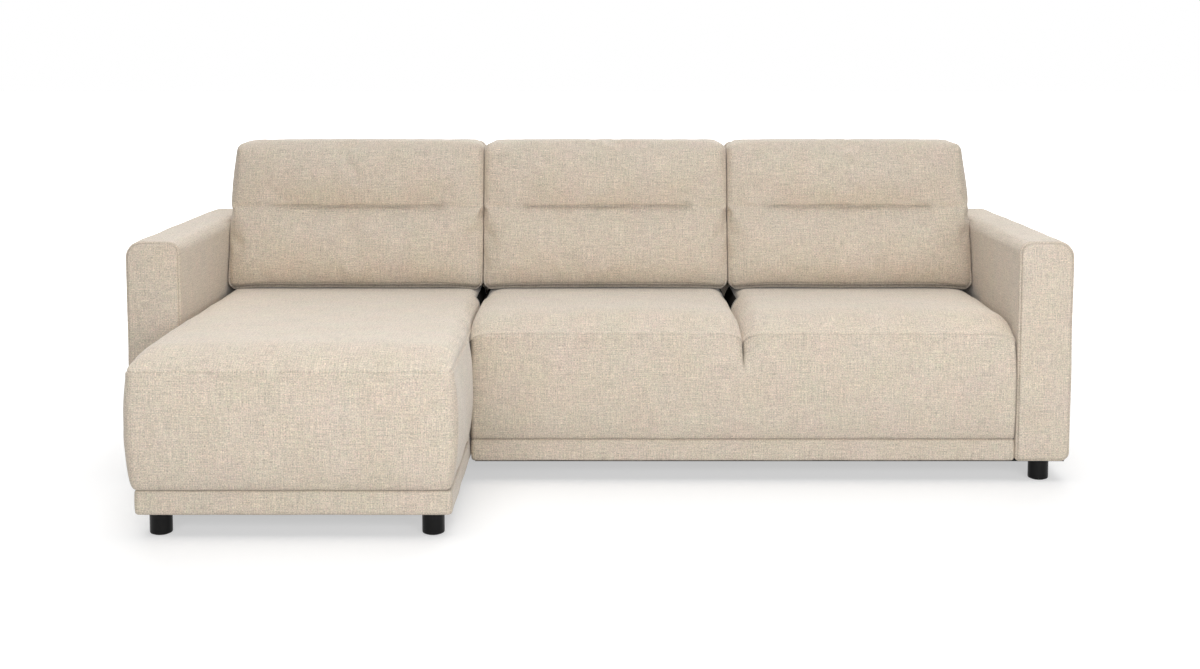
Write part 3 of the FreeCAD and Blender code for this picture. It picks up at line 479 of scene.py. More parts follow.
def foot_plastic():
    m = Surface("foot_plastic", roughness=0.34, Specular_IOR_Level=0.16)
    grain = local_noise(m, 900, 2)
    m.colour(m.tones(local_noise(m, 35), (9, 9, 9), (15, 15, 15)))
    m.rough(m.grey(grain, 0.3, 0.7, 0.3, 0.42))
    m.bump(grain, 0.0002, 0.35)
    return m.material


def timber():
    m = Surface("timber", roughness=0.6)
    where = m.place()
    bands = {"bands_direction": "Z"}
    wave = m.node("TexWave", bands, Vector=where, Scale=38, Distortion=7, Detail=3)
    grain = m.noise(m.scaled(where, (14, 14, 260)), 1.0, 4)
    rings = m.mix(0.4, wave.outputs["Color"], grain)
    m.colour(m.tones(rings, (186, 150, 106), (222, 192, 148), 0.2, 0.8))
    m.bump(grain, 0.0006, 0.5)
    return m.material


def panel_board():
    m = Surface("panel_board", roughness=0.7)
    where = m.place()
    chips = m.node("TexVoronoi", Vector=m.scaled(where, (1, 1, 0.6)), Scale=160).outputs["Color"]
    chips = m.tones(chips, (178, 146, 106), (214, 186, 146), 0, 1)
    m.colour(m.mix(0.5, chips, srgb(196, 166, 124)))
    m.bump(local_noise(m, 260), 0.0004, 0.4)
    return m.material


def metal(name, dark, light, roughness):
    m = Surface(name, roughness=roughness, metallic=1.0)
    m.colour(m.tones(local_noise(m, 60), dark, light))
    streak = local_noise(m, 300, 2, (1, 1, 0.1))
    m.rough(m.grey(streak, 0.3, 0.7, roughness - 0.08, roughness + 0.08))
    m.bump(streak, 0.0001, 0.3)
    return m.material


def pressed_fibres(name, dark, light, scale, detail, height, strength, **fixed):
    m = Surface(name, roughness=0.95, **fixed)
    fibres = local_noise(m, scale, detail)
    m.colour(m.tones(fibres, dark, light))
    m.bump(fibres, height, strength)
    return m.material


def felt(name, dark, light):
    return pressed_fibres(name, dark, light, 420, 4, 0.001, 0.6, Sheen_Weight=0.3)


def clip_plastic():
    m = Surface("clip_plastic", roughness=0.45)
    m.colour(m.tones(local_noise(m, 120), (206, 204, 198), (224, 222, 216)))
    m.bump(local_noise(m, 700, 2), 0.0001, 0.3)
    return m.material


def strap_webbing():
    m = Surface("webbing", roughness=0.8)
    where = m.place()
    stripe = m.node("TexWave", {"bands_direction": "Z"}, Vector=where, Scale=110).outputs["Color"]
    weave = m.node("TexChecker", Vector=where, Scale=520).outputs["Fac"]
    m.colour(m.tones(stripe, (52, 50, 48), (92, 88, 82), 0.2, 0.8))
    m.bump(weave, 0.0005, 0.5)
    return m.material


def dust_cloth():
    """Thin black spunbond cloth with its grid of pressed dots."""
    m = Surface("dust_cloth", roughness=0.8, Sheen_Weight=0.15)
    where = m.place()
    dots = m.node("TexVoronoi", Vector=where, Scale=420, Randomness=0.25).outputs["Distance"]
    fibres = local_noise(m, 500, 4)
    m.colour(m.tones(fibres, (24, 24, 25), (44, 44, 45)))
    m.bump(m.mix(0.5, dots, fibres), 0.0004, 0.6)
    return m.material


def gap_shadow_cloth():
    """A near-black cloth put low down between the seats: painted shadow in the deep gaps."""
    dark, light = (14, 13, 12), (26, 24, 22)
    return pressed_fibres("painted_gap_shadow", dark, light, 600, 3, 0.0005, 0.5, Specular_IOR_Level=0.08)


UPHOLSTERY = woven_upholstery()
GAP_SHADOW = gap_shadow_cloth()
TIMBER = timber()
BOARD = panel_board()
ZINC = metal("zinc_steel", (150, 152, 155), (196, 198, 200), 0.35)
SPRING = metal("spring_steel", (92, 94, 98), (140, 142, 146), 0.4)
FOOT = foot_plastic()
GREY_FELT = felt("glide_felt", (70, 68, 66), (104, 100, 96))
SPRING_FELT = felt("felt", (128, 122, 116), (176, 170, 162))
CLIP = clip_plastic()
WEBBING = strap_webbing()
DUST = dust_cloth()

NODES_OF = {
    "back_rails base_rails cross_rails foot_blocks arm_frame arm_cleat": TIMBER,
    "back_ribs arm_panels": BOARD,
    "foot_bolts foot_nuts frame_bolts connector_plates connector_screws": ZINC,
    "springs": SPRING,
    "spring_clips": CLIP,
    "feet": FOOT,
    "foot_glides": GREY_FELT,
}
NODE_MATERIALS = {kind: material for kinds, material in NODES_OF.items() for kind in kinds.split()}
for name, node in frame["nodes"].items():
    kind = name.split("_", 1)[1]
    if kind in NODE_MATERIALS:
        node.data.materials.clear()
        node.data.materials.append(NODE_MATERIALS[kind])


# Soft pieces

CLOTH_SHIFT = 3.17
cloth_shifts = itertools.count(1)


def upholstered(name, points, shape, body, nodes, painted_shade=None, painted_black=None):
    """A padded piece with the quads of shape at points, in place of the frame's nodes. Faces whose
    points are mostly marked in the last argument take a near-black cloth: painted shadow in the
    gaps."""
    obj = mesh_object(name, points, shape, CLOTH_SHIFT * next(cloth_shifts), painted_shade)
    obj.data.materials.append(UPHOLSTERY)
    if painted_black is not None and painted_black.any():
        obj.data.materials.append(GAP_SHADOW)
        # Faces mostly in the marked gaps take the near-black cloth that paints their shadow
        dark = painted_black[shape.quads].mean(1) > 0.5
        obj.data.polygons.foreach_set("material_index", dark.astype(np.int32))
    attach(obj, body)
    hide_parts(*nodes)


def sunk(points, quads, depth):
    """points moved in along the surface by depth, one number per point."""
    return points - normals_of(points, quads) * depth[:, None]


# What both seats share

SEAT_ROLL = 150.0
SEAT_HEIGHTS = lines([BAND_TOP, SEAM_Z], 9, (BAND_TOP, SEAM_Z), 1.2, 0.2)
GAP_SHADE = 0.96


def lost(distance, width):
    """How much a quarter round as wide as width falls short of its full height, as a share."""
    return 1 - np.sqrt(unit(1 - (1 - unit(distance / width)) ** 2))


def before_cushions(y):
    """1 on the free part of the seats, and 0 from the back cushions' fronts on."""
    return 1 - smooth(y, Y_CUSHION - 50, Y_CUSHION - 2)


def sewn(points, from_seam, groove, lip, wave, length, pull, seed):
    """How deep the cloth lies: a groove and a lip along its seam, soft waves of that length apart,
    and the short folds that the stitches pull."""
    depth = groove * bell(from_seam, 2.0) - lip * bell(from_seam - 7, 5)
    depth -= wave * ripple(points, length, seed) + 0.35 * ripple(points, 60, seed + 1)
    return depth + ripple(points * [1, 1, 0.3], 34, seed + 2) * bell(from_seam - 6, 16) * pull


def settled(lat, points, depth):
    """points with the cloth sunk by depth: only a little near the back cushions, under which the
    top stays flat, and not at all at the foot."""
    y = points[:, 1]
    depth = depth * np.where(y > Y_CUSHION - 30, 0.25, 1.0) * (lat.p[:, 2] >= BAND_TOP + 2)
    out = sunk(points, lat.quads, depth)
    flat = lat.on["top"] & (y > Y_CUSHION - 6)
    out[:, 2] = np.where(flat, np.minimum(out[:, 2], SEAT_Z), out[:, 2])
    return out


def covered_seat(module, lat, points, painted_shade, foams):
    """The seat's piece. Low down between the seats, at and behind the cushions' fronts, its cloth
    gets painted shade, and where that is deepest its faces take a near-black cloth: painted shadow."""
    behind = smooth(points[:, 1], Y_CUSHION - 45, Y_CUSHION - 14)
    gap = behind * smooth(SEAT_Z - points[:, 2], 7, 17)
    nodes = [module + "_seat_cover", *foams]
    # Painted shade low down behind the cushions' fronts, and painted shadow cloth where it is
    # deepest
    painted_shade = painted_shade + GAP_SHADE * gap
    body = module + "_module"
    upholstered(module + "_seat", points, lat, body, nodes, painted_shade, gap > 0.7)


# The chaise's seat: front and side walls that swell, and a domed top above the seam. Each wall's
# curve gives, at a height, how far it stands out

CHAISE_FRONT = [
    (116, -19), (118, -13), (121.5, -8.5), (127, -4.8), (136, -1), (150, 3), (172, 6.5),
    (205, 8.9), (240, 9.5), (285, 9.5), (325, 8), (362, 4.6), (388, 1.4), (403, 0),
]
CHAISE_SIDE = [
    (116, -17), (118, -12), (122, -7.5), (130, -3.5), (145, 0.5), (160, 3.5), (180, 6),
    (208, 8.8), (240, 10.6), (275, 11), (312, 10), (348, 7.6), (378, 4), (403, 0),
]
CHAISE_CORNER = 26.0
CHAISE_SHOULDER = 48.0
CHAISE_SIDE_FOOT, CHAISE_FRONT_FOOT = 17.0, 19.0
CHAISE_CROWN = 7.5


def chaise_seat():
    seam_front = Y_NOSE + 9.5
    x0, x1 = X_LEFT_ARM - 3.0, X_JOIN + 4.0
    corner = CHAISE_CORNER
    xs = lines([x0, x1], 11, (x0, x1), 1.6, 0.16)
    ys = lines([seam_front, Y_ARM, Y_SEAT_REAR], 11, (seam_front, Y_ARM - 8, Y_ARM - 24), 1.6, 0.16)
    lat = Lattice(xs, ys, SEAT_HEIGHTS)
    a, b = lat.p[:, 0] - x0, lat.p[:, 1] - seam_front
    width = x1 - x0
    y, z = lat.p[:, 1:].T.copy()
    wall = lat.on["front"] | lat.on["left"] | lat.on["right"] | lat.on["bottom"]

    # In plan: rounded front corners, and walls that stand out by their curves
    centre = (x0 + x1) / 2
    side_way = np.where(a < width / 2, -1.0, 1.0)
    from_side = np.minimum(a, width - a)
    turn_left = smooth(y, Y_ARM - 26, Y_ARM - 3)
    turn_right = smooth(y, Y_ARM - 44, Y_ARM - 28)
    free = 1 - np.where(side_way < 0, turn_left, turn_right)
    front = lat.on["front"]
    d = corner - np.stack([from_side, b], 1)
    bend = (d > 0).all(1)[:, None]
    norm = np.maximum(np.linalg.norm(np.maximum(d, 0), axis=1), 1e-6)
    scale = np.where(bend, (d.max(1) / norm)[:, None], 1.0)
    px, py = (corner - d * scale).T
    nx, ny = np.where(bend, d / norm[:, None], np.stack([~front, front], 1)).T
    out_front, out_side = curve(z, CHAISE_FRONT), curve(z, CHAISE_SIDE) * free
    out_side = np.where(free < 0.02, np.minimum(out_side, 0), out_side)
    under = lat.on["bottom"] & (from_side > 1e-6) & (b > 1e-6)
    out = np.where(wall & ~under, out_front * ny**2 + out_side * nx**2, 0.0)
    px, py = px - out * nx, py - out * ny
    px = px + under * CHAISE_SIDE_FOOT * unit(1 - from_side / 80) * free
    py = py + under * CHAISE_FRONT_FOOT * unit(1 - b / 80)
    inner_left = X_LEFT_ARM + 0.7 - x0
    inner_right = x1 - (X_JOIN - 0.7)
    step = np.where(side_way < 0, turn_left * inner_left, turn_right * inner_right)
    px = px + step * unit(1 - from_side / 120)
    x = centre + side_way * (width / 2 - px)
    y = seam_front + py

    # On top: the shoulders' quarter turn at the sides and a long roll at the front
    top = lat.on["top"]
    turn = 1 - lost(from_side, CHAISE_SHOULDER)
    roll = 1 - (1 - unit(b / SEAT_ROLL)) ** 2.3
    crown = CHAISE_CROWN * (1 - (2 * a / width - 1) ** 2) * roll * before_cushions(y)
    z = np.where(top, SEAM_Z + (SEAT_Z - SEAM_Z) * turn * roll + crown, z)
    points = np.stack([x, y, z], 1)

    from_seam = np.where(top, np.minimum(from_side, b), SEAM_Z - lat.p[:, 2])
    visible = ~lat.on["bottom"] & ~lat.on["rear"]
    depth = sewn(points, from_seam, 3.0, 0.8, 0.9, 170, 0.4, 11)
    upright = 1.5 * bell(a - (width - 16), 2.0) * front
    points = settled(lat, points, (depth + upright) * visible)
    # Painted shade: darker along the seam and in the groove just above the band
    painted_shade = 0.08 * bell(from_seam, 1.8) * visible
    painted_shade += 0.1 * bell(lat.p[:, 2] - BAND_TOP, 4) * wall
    covered_seat("chaise", lat, points, painted_shade, ["chaise_seat_foam"])


# The two-seat module's seat: one cover over two cushions, with a deep tuck between them

SEAT_FRONT = [
    (116, -20), (118, -14), (121.5, -10), (127, -6.4), (136, -3), (150, 1), (175, 5.6),
    (205, 8.2), (238, 9.6), (275, 10), (320, 8.4), (358, 4.8), (386, 1.5), (403, 0),
]
SHOULDER = 76.0
TUCK = 58.0
TUCK_FOOT = 262.0
SEAT_CROWN = 7.0
END_ROUND = 11.0


def loveseat_seat():
    x0, x1 = X_JOIN + 0.7, X_RIGHT_ARM - 0.7
    y0 = Y_ARM - 5.0
    xs = lines([x0, X_SPLIT, x1], 11, (x0, X_SPLIT, x1), 1.3, 0.17)
    ys = lines([y0, Y_SEAT_REAR], 11, (y0,), 1.6, 0.16)
    lat = Lattice(xs, ys, SEAT_HEIGHTS)
    x, y, c = lat.p.T.copy()
    b = y - y0
    top, front = lat.on["top"], lat.on["front"]

    at_end = np.maximum(lost(x - x0, SHOULDER), lost(x1 - x, SHOULDER))
    at_split = lost(np.abs(x - X_SPLIT), TUCK)
    seam_drop = 29.0 * at_end + 34.0 * at_split
    top_drop = 42.0 * at_end + 62.0 * at_split
    pull = 25.0 * at_end + 30.0 * at_split

    share = unit((c - TUCK_FOOT) / (SEAM_Z - TUCK_FOOT))
    thin = lost(np.abs(x - X_SPLIT), TUCK * (0.25 + 0.75 * share))
    wall_pull = at_end * (10 + 15 * smooth(c, TUCK_FOOT, SEAM_Z))
    wall_pull += thin * 30 * smooth(c, TUCK_FOOT + 30, SEAM_Z) ** 1.2
    wall_z = c - seam_drop * share**1.5
    wall_y = y0 - curve(c, SEAT_FRONT) + wall_pull * smooth(c, BAND_TOP, BAND_TOP + 34)

    roll = 1 - (1 - unit(b / SEAT_ROLL)) ** 2.2
    seam_z = SEAM_Z - seam_drop
    far_z = SEAT_Z - top_drop
    where = np.where(x < X_SPLIT, (x - x0) / (X_SPLIT - x0), (x - X_SPLIT) / (x1 - X_SPLIT))
    crown = SEAT_CROWN * (1 - (2 * where - 1) ** 2) * roll * before_cushions(y)
    top_z = seam_z + (far_z - seam_z) * roll + crown
    top_y = y + pull * (1 - smooth(b, 0, 200))

    side = (lat.on["left"] | lat.on["right"]) & ~top & ~front
    rear = lat.on["rear"] & ~top
    stretched = BAND_TOP + (c - BAND_TOP) * (top_z - BAND_TOP) / (SEAM_Z - BAND_TOP)
    z = np.select([top, front, side | rear], [top_z, wall_z, stretched], c)
    shifted = y + (wall_y - y0) * (1 - unit(b / 200))
    y = np.select([top, front, side | lat.on["bottom"]], [top_y, wall_y, shifted], y)
    turn = 1 - unit(np.minimum(x - x0, x1 - x) / 12)
    turned_in = END_ROUND * (1 - np.sqrt(unit(1 - turn**2)))
    y = y + turned_in * front * ~top
    y = y + END_ROUND * side * unit(1 - b / 60)
    points = np.stack([x, y, z], 1)

    visible = ~lat.on["bottom"] & ~rear & ~side
    from_seam = np.where(top, b, SEAM_Z - c)
    depth = sewn(points, from_seam, 2.4, 0.6, 1.0, 180, 0.35, 21)
    near_split = bell(np.abs(x - X_SPLIT), 60) * bell(SEAM_Z - c, 110) * front
    depth -= 1.6 * near_split * ripple(points, 55, 24)
    quiet = np.minimum(unit((x - x0) / 6), unit((x1 - x) / 6))
    points = settled(lat, points, depth * visible * quiet)
    points[:, 0] = np.clip(points[:, 0], x0, x1)
    # Painted shade: darker along the seam, at the front's ends next to the chaise and the arm, and
    # high in the groove between the seats
    painted_shade = 0.14 * bell(from_seam, 2.2) * visible
    painted_shade += 0.9 * bell(x - x0, 8) * front + 0.5 * bell(x1 - x, 4) * front
    painted_shade += 0.8 * bell(x - X_SPLIT, 3) * front * smooth(c, 300, 390)
    covered_seat("loveseat", lat, points, painted_shade, ["left_seat_foam", "right_seat_foam"])


# The arms

ARM_END_ROUND = 13.0
# Outer and inner
ARM_TOP_ROUNDS = (44.0, 32.0)
ARM_FOOT_ROUNDS = (25.0, 12.0)
ARM_TOP_CROWN, ARM_END_CROWN = 2.5, 1.8
ARM_MOST_OUT = 2.5


def arm(side, x0, module):
    low, high = np.array([x0, Y_ARM, FRAME_Z]), np.array([x0 + ARM_WIDTH, Y_REAR, ARM_TOP])
    way, inner, seed = (1, "right", 31) if side == "left" else (-1, "left", 32)
    r = ARM_END_ROUND
    corners = ARM_FOOT_ROUNDS[::way] + ARM_TOP_ROUNDS[::way]
    grid = [
        lines([a, a + r, b - r, b], step, (a + 2, b - 2), 1.5, growth)
        for a, b, step, growth in zip(low, high, (10, 12, 11), (0.16, 0.14, 0.14))
    ]
    lat = Lattice(*grid)
    points = rounded_bar(lat.p, low, high, 1, corners, r)
    x, y, z = lat.p.T
    cap = lat.on["front"] | lat.on["rear"]
    across = np.minimum(x - low[0], high[0] - x)
    above = np.minimum(z - low[2], high[2] - z)
    along = np.minimum(y - low[1], high[1] - y)
    edge = np.where(cap, np.minimum(across, above), -along)
    depth = 2.4 * bell(edge - 2.0, 1.9) - 0.5 * bell(edge + 6, 5) - 0.5 * bell(edge - 9, 5)
    # Painted shade along the seams round the arm's front and rear ends
    painted_shade = 0.22 * bell(edge - 2.0, 1.7)
    middle = (2 * (x - low[0]) / ARM_WIDTH - 1) ** 2
    depth -= ARM_TOP_CROWN * lat.on["top"] * (1 - middle) * unit(along / 60)
    depth -= ARM_END_CROWN * cap * (1 - middle) * unit(above / 60)
    depth -= np.where(lat.on[inner], 0.2, 0.9) * ripple(points, 190, seed)
    depth += ripple(points * [1, 1, 1], 30, 33) * bell(edge - 2, 14) * 0.3
    depth *= ~(lat.on["bottom"] & ~cap)
    points = sunk(points, lat.quads, depth)
    points[:, 2] = np.maximum(points[:, 2], FRAME_Z)
    left_out, right_out = (ARM_MOST_OUT, 0)[::way]
    points[:, 0] = np.clip(points[:, 0], low[0] - left_out, high[0] + right_out)
    nodes = [side + "_arm_cover", side + "_arm_padding"]
    upholstered(side + "_arm", points, lat, module + "_module", nodes, painted_shade)


# The backrests

BACK_END_ROUND, BACK_CORNER, BACK_FOOT = 7.0, 34.0, 10.0
BACK_SWELL = 2.0


def backrest(module, x0, x1):
    low, high = np.array([x0, Y_BACK, FRAME_Z]), np.array([x1, Y_REAR, ARM_TOP])
    r, corner, foot = BACK_END_ROUND, BACK_CORNER, BACK_FOOT
    xs = lines([x0, x0 + r, x1 - r, x1], 14, (x0, x1), 1.6, 0.16)
    ys = lines([low[1], high[1]], 10, (low[1], high[1]), 2.5, 0.2)
    zs = lines([low[2], high[2]], 12, (high[2] - corner, high[2]), 2.2, 0.16)
    lat = Lattice(xs, ys, zs)
    points = rounded_bar(lat.p, low, high, 0, (foot, foot, corner, corner), r)
    x, _, z = lat.p.T
    thick = high[1] - low[1]
    less = np.clip(points[:, 2] - SEAT_Z, 0, None) * LEAN
    points[:, 1] = high[1] - (high[1] - points[:, 1]) * (thick - less) / thick
    cap = lat.on["left"] | lat.on["right"]
    end = np.minimum(x - x0, x1 - x)
    rear = lat.on["rear"]
    top_seam = np.where(rear, high[2] - 10 - z, 99)
    depth = 1.4 * bell(top_seam, 2.6) - 0.5 * bell(np.abs(top_seam) - 8, 5) * rear
    depth += bell(end - r, 2.4)
    across = (2 * (x - x0) / (x1 - x0) - 1) ** 2
    depth -= BACK_SWELL * rear * (1 - across**2) * unit((z - low[2]) / 80)
    depth -= ripple(points, 230, 41)
    depth *= ~(lat.on["front"] | lat.on["bottom"] | cap)
    points = sunk(points, lat.quads, depth)
    points[:, 2] = np.maximum(points[:, 2], FRAME_Z)
    nodes = [module + "_back_cover", module + "_back_padding"]
    upholstered(module + "_backrest", points, lat, module + "_module", nodes)


# The base bands: a padded strip round the front and sides of each base

BAND_THICKNESS = 10.0
BAND_CORNER = 11.0
BAND_LOW_ROUND, BAND_TOP_ROUND = 7.0, 5.0
BAND_SWELL = 1.6
BAND_BACK = 0.6


def band_path(x0, x1, y0, y1):
    """The strip's way in plan, from the rear left round the front to the rear right, and the
    outward direction at each of its points."""
    corner = BAND_CORNER
    turn = np.radians(np.linspace(0, 90, 7)[1:-1])
    out = -np.stack([np.cos(turn), np.sin(turn)], 1)
    side_y = lines([y0 + corner, y1], 14, (y0 + corner,), 2.5, 0.2)[::-1]
    ends = (x0 + corner, x1 - corner)
    front_x = lines(ends, 14, ends, 2.5, 0.2)
    straight = np.stack([np.full(len(side_y), x0), side_y], 1)
    side = np.concatenate([straight, [x0, y0] + corner * (1 + out)])
    side_way = np.concatenate([np.tile([-1.0, 0.0], (len(straight), 1)), out])
    front = np.stack([front_x, np.full(len(front_x), y0)], 1)
    front_way = np.tile([0.0, -1.0], (len(front), 1))
    path = np.concatenate([side, front, ([x0 + x1, 0] + side * [-1, 1])[::-1]])
    return path, np.concatenate([side_way, front_way, (side_way * [-1, 1])[::-1]])


def band_section(z0, z1):
    """The strip's section as points (out from the timber's side, height)."""
    section = []
    for r, start, z in ((BAND_LOW_ROUND, -90, z0), (BAND_TOP_ROUND, 0, z1)):
        for angle in np.radians(np.linspace(start, start + 90, 6)):
            up = math.sin(angle) + (1 if start < 0 else -1)
            section.append((BAND_THICKNESS + r * (math.cos(angle) - 1), z + r * up))
        if start < 0:
            straight = lines([z0 + BAND_LOW_ROUND, z1 - BAND_TOP_ROUND], 7)[1:-1]
            section += [(BAND_THICKNESS, height) for height in straight]
    section += [(BAND_BACK, z1), (BAND_BACK, (z0 + z1) / 2), (BAND_BACK, z0)]
    return np.array(section)


def along(points):
    """How far each point of a line lies from its first one, along the line."""
    return np.concatenate([[0], np.cumsum(np.linalg.norm(np.diff(points, axis=0), axis=1))])


def band(module, x0, x1, y0):
    z0, z1 = FRAME_Z, BAND_TOP - 0.6
    path, way = band_path(x0, x1, y0, Y_SEAT_REAR)
    section = band_section(z0, z1)
    rows, columns = len(path), len(section)
    length, around = along(path), along(section)
    outer = section[:, 0] > BAND_THICKNESS / 2
    from_middle = (section[:, 1] - (z0 + z1) / 2) / ((z1 - z0) / 2)
    swell = BAND_SWELL * unit(1 - from_middle**2) * outer
    wave = 0.8 * ripple(length[:, None] * [1, 0, 0], 150, 51)
    out = section[:, 0] - BAND_THICKNESS + swell + wave[:, None] * outer
    grid = np.zeros((rows, columns, 3))
    grid[..., :2] = path[:, None] + way[:, None] * out[..., None]
    grid[..., 2] = section[:, 1]
    points = grid.reshape(-1, 3)

    r, s = (g.ravel() for g in np.meshgrid(np.arange(rows - 1), np.arange(columns), indexing="ij"))
    t = (s + 1) % columns
    here, there = r * columns, (r + 1) * columns
    quads = np.stack([here + s, there + s, there + t, here + t], 1)
    v0, v1 = around[s], np.where(t == 0, around[s] + 20, around[t])
    u0, u1 = length[r], length[r + 1]
    uv = np.stack([u0, v0, u1, v0, u1, v1, u0, v1], 1).reshape(-1, 4, 2)
    s = np.arange(columns // 2 - 1)
    cap = np.stack([s, s + 1, columns - 2 - s, columns - 1 - s], 1)
    caps = np.concatenate([cap, (rows - 1) * columns + cap[:, ::-1]])
    quads = np.concatenate([quads, caps])
    uv = np.concatenate([uv, points[caps][..., [0, 2]]])
    # Painted shade along the band's top edge, in the groove under the seat
    painted_shade = 0.12 * bell(np.tile(section[:, 1], rows) - z1, 3)
    shape = SimpleNamespace(quads=quads, uv=uv)
    body, nodes = module + "_module", [module + "_base_band"]
    upholstered(module + "_band", points, shape, body, nodes, painted_shade)


# The back cushions

CUSHION_THICKNESS = 176.0
CUSHION_REAR = Y_BACK - 3.5
CUSHION_BASE = SEAT_Z + 0.6
CUSHION_HEIGHT = 427.0
CUSHION_ROUND = np.array([20.0, 36.0, 22.0])
STUFFING_STEP, STUFFING_ROWS, CHANNEL_ROW = 14.2, 30, 17
CHANNEL = CUSHION_HEIGHT * CHANNEL_ROW / STUFFING_ROWS
CHANNEL_REACH = 0.335
CHANNEL_TUCK, CHANNEL_GROOVE = 17.0, 3.4
SEAM_UP, SEAM_GROOVE = 11.0, 2.4
STITCH_UP, STITCH_GROOVE = 3.0, 1.8
FOOT_IN, FOOT_REACH = 22.0, 85.0
CORNER_IN, CORNER_DROOP = 12.0, 7.0
MOST_SWELL = 22.0
STUFFING_FRAMES = 20
STUFFING_SETTINGS = {
    "quality": 6,
    "mass": 0.15,
    "tension_stiffness": 18,
    "compression_stiffness": 12,
    "shear_stiffness": 8,
    "bending_stiffness": 2.0,
    "air_damping": 2.0,
    "use_pressure": True,
    "uniform_pressure_force": 4.0,
    "vertex_group_mass": "held",
    "shrink_min": -0.012,
}


def simulated(obj, pinned, cap):
    """Blows the piece up like a stuffed case: cloth with pressure inside and no gravity, its
    pinned points held. Gives how far each point moves, none of them more than cap."""
    start = points_of(obj)
    group = obj.vertex_groups.new(name="held")
    weights = np.round(pinned, 2)
    for weight in np.unique(weights[weights > 0]):
        group.add([int(n) for n in np.flatnonzero(weights == weight)], float(weight), "REPLACE")
    cloth = obj.modifiers.new("stuffing", "CLOTH")
    for key, value in STUFFING_SETTINGS.items():
        setattr(cloth.settings, key, value)
    cloth.settings.effector_weights.gravity = 0.0
    cloth.collision_settings.use_collision = False
    cloth.point_cache.frame_start = 1
    cloth.point_cache.frame_end = STUFFING_FRAMES
    scene = bpy.context.scene
    for frame_number in range(1, STUFFING_FRAMES + 1):
        scene.frame_set(frame_number)
    evaluated = obj.evaluated_get(bpy.context.evaluated_depsgraph_get())
    moved = points_of(evaluated) - start
    scene.frame_set(1)
    size = np.linalg.norm(moved, axis=1)
    return moved * np.minimum(1, cap / np.maximum(size, 1e-6))[:, None]


def cushion_form(p, width, lean_in):
    """The cushion before it is stuffed: slightly slack, crowned in front below and above its
    tuck, and its left and right sides leaning in towards the top by lean_in."""
    half, height = CUSHION_THICKNESS / 2, CUSHION_HEIGHT
    radii = CUSHION_ROUND
    low, high = np.array([-width / 2, -half, 0.0]), np.array([width / 2, half, height])
    inner = np.clip(p, low + radii, high - radii)
    d = (p - inner) / radii
    scale = np.abs(d).max(1) / np.maximum(np.linalg.norm(d, axis=1), 1e-6)
    x, u, v = (inner + d * scale[:, None] * radii).T
    side = 2 * x / width
    face = unit(-u / half) ** 3
    low_t = unit(v / CHANNEL)
    high_t = unit((v - CHANNEL) / (height - CHANNEL))
    below = (1 - (1 - low_t) ** 3) * (1 - low_t**9)
    above = (1 - (1 - high_t) ** 2.4) * (1 - high_t**5)
    bow = 1 - unit(np.abs(side)) ** 3
    reach = width * CHANNEL_REACH
    run = 1 - smooth(np.abs(x), reach - 34, reach + 22)
    tuck = np.where(v >= CHANNEL, (1 - unit((v - CHANNEL) / 66)) ** 2, bell(v - CHANNEL, 9))
    u = u - face * (bow * (9 * below + 6 * above) - 4) + face * run * tuck * CHANNEL_TUCK
    left, right = lean_in
    up = smooth(v, height * 0.2, height)
    x = x + np.where(x < 0, left, -right) * up * unit(np.abs(side)) ** 1.5
    return np.stack([x, u, v], 1)


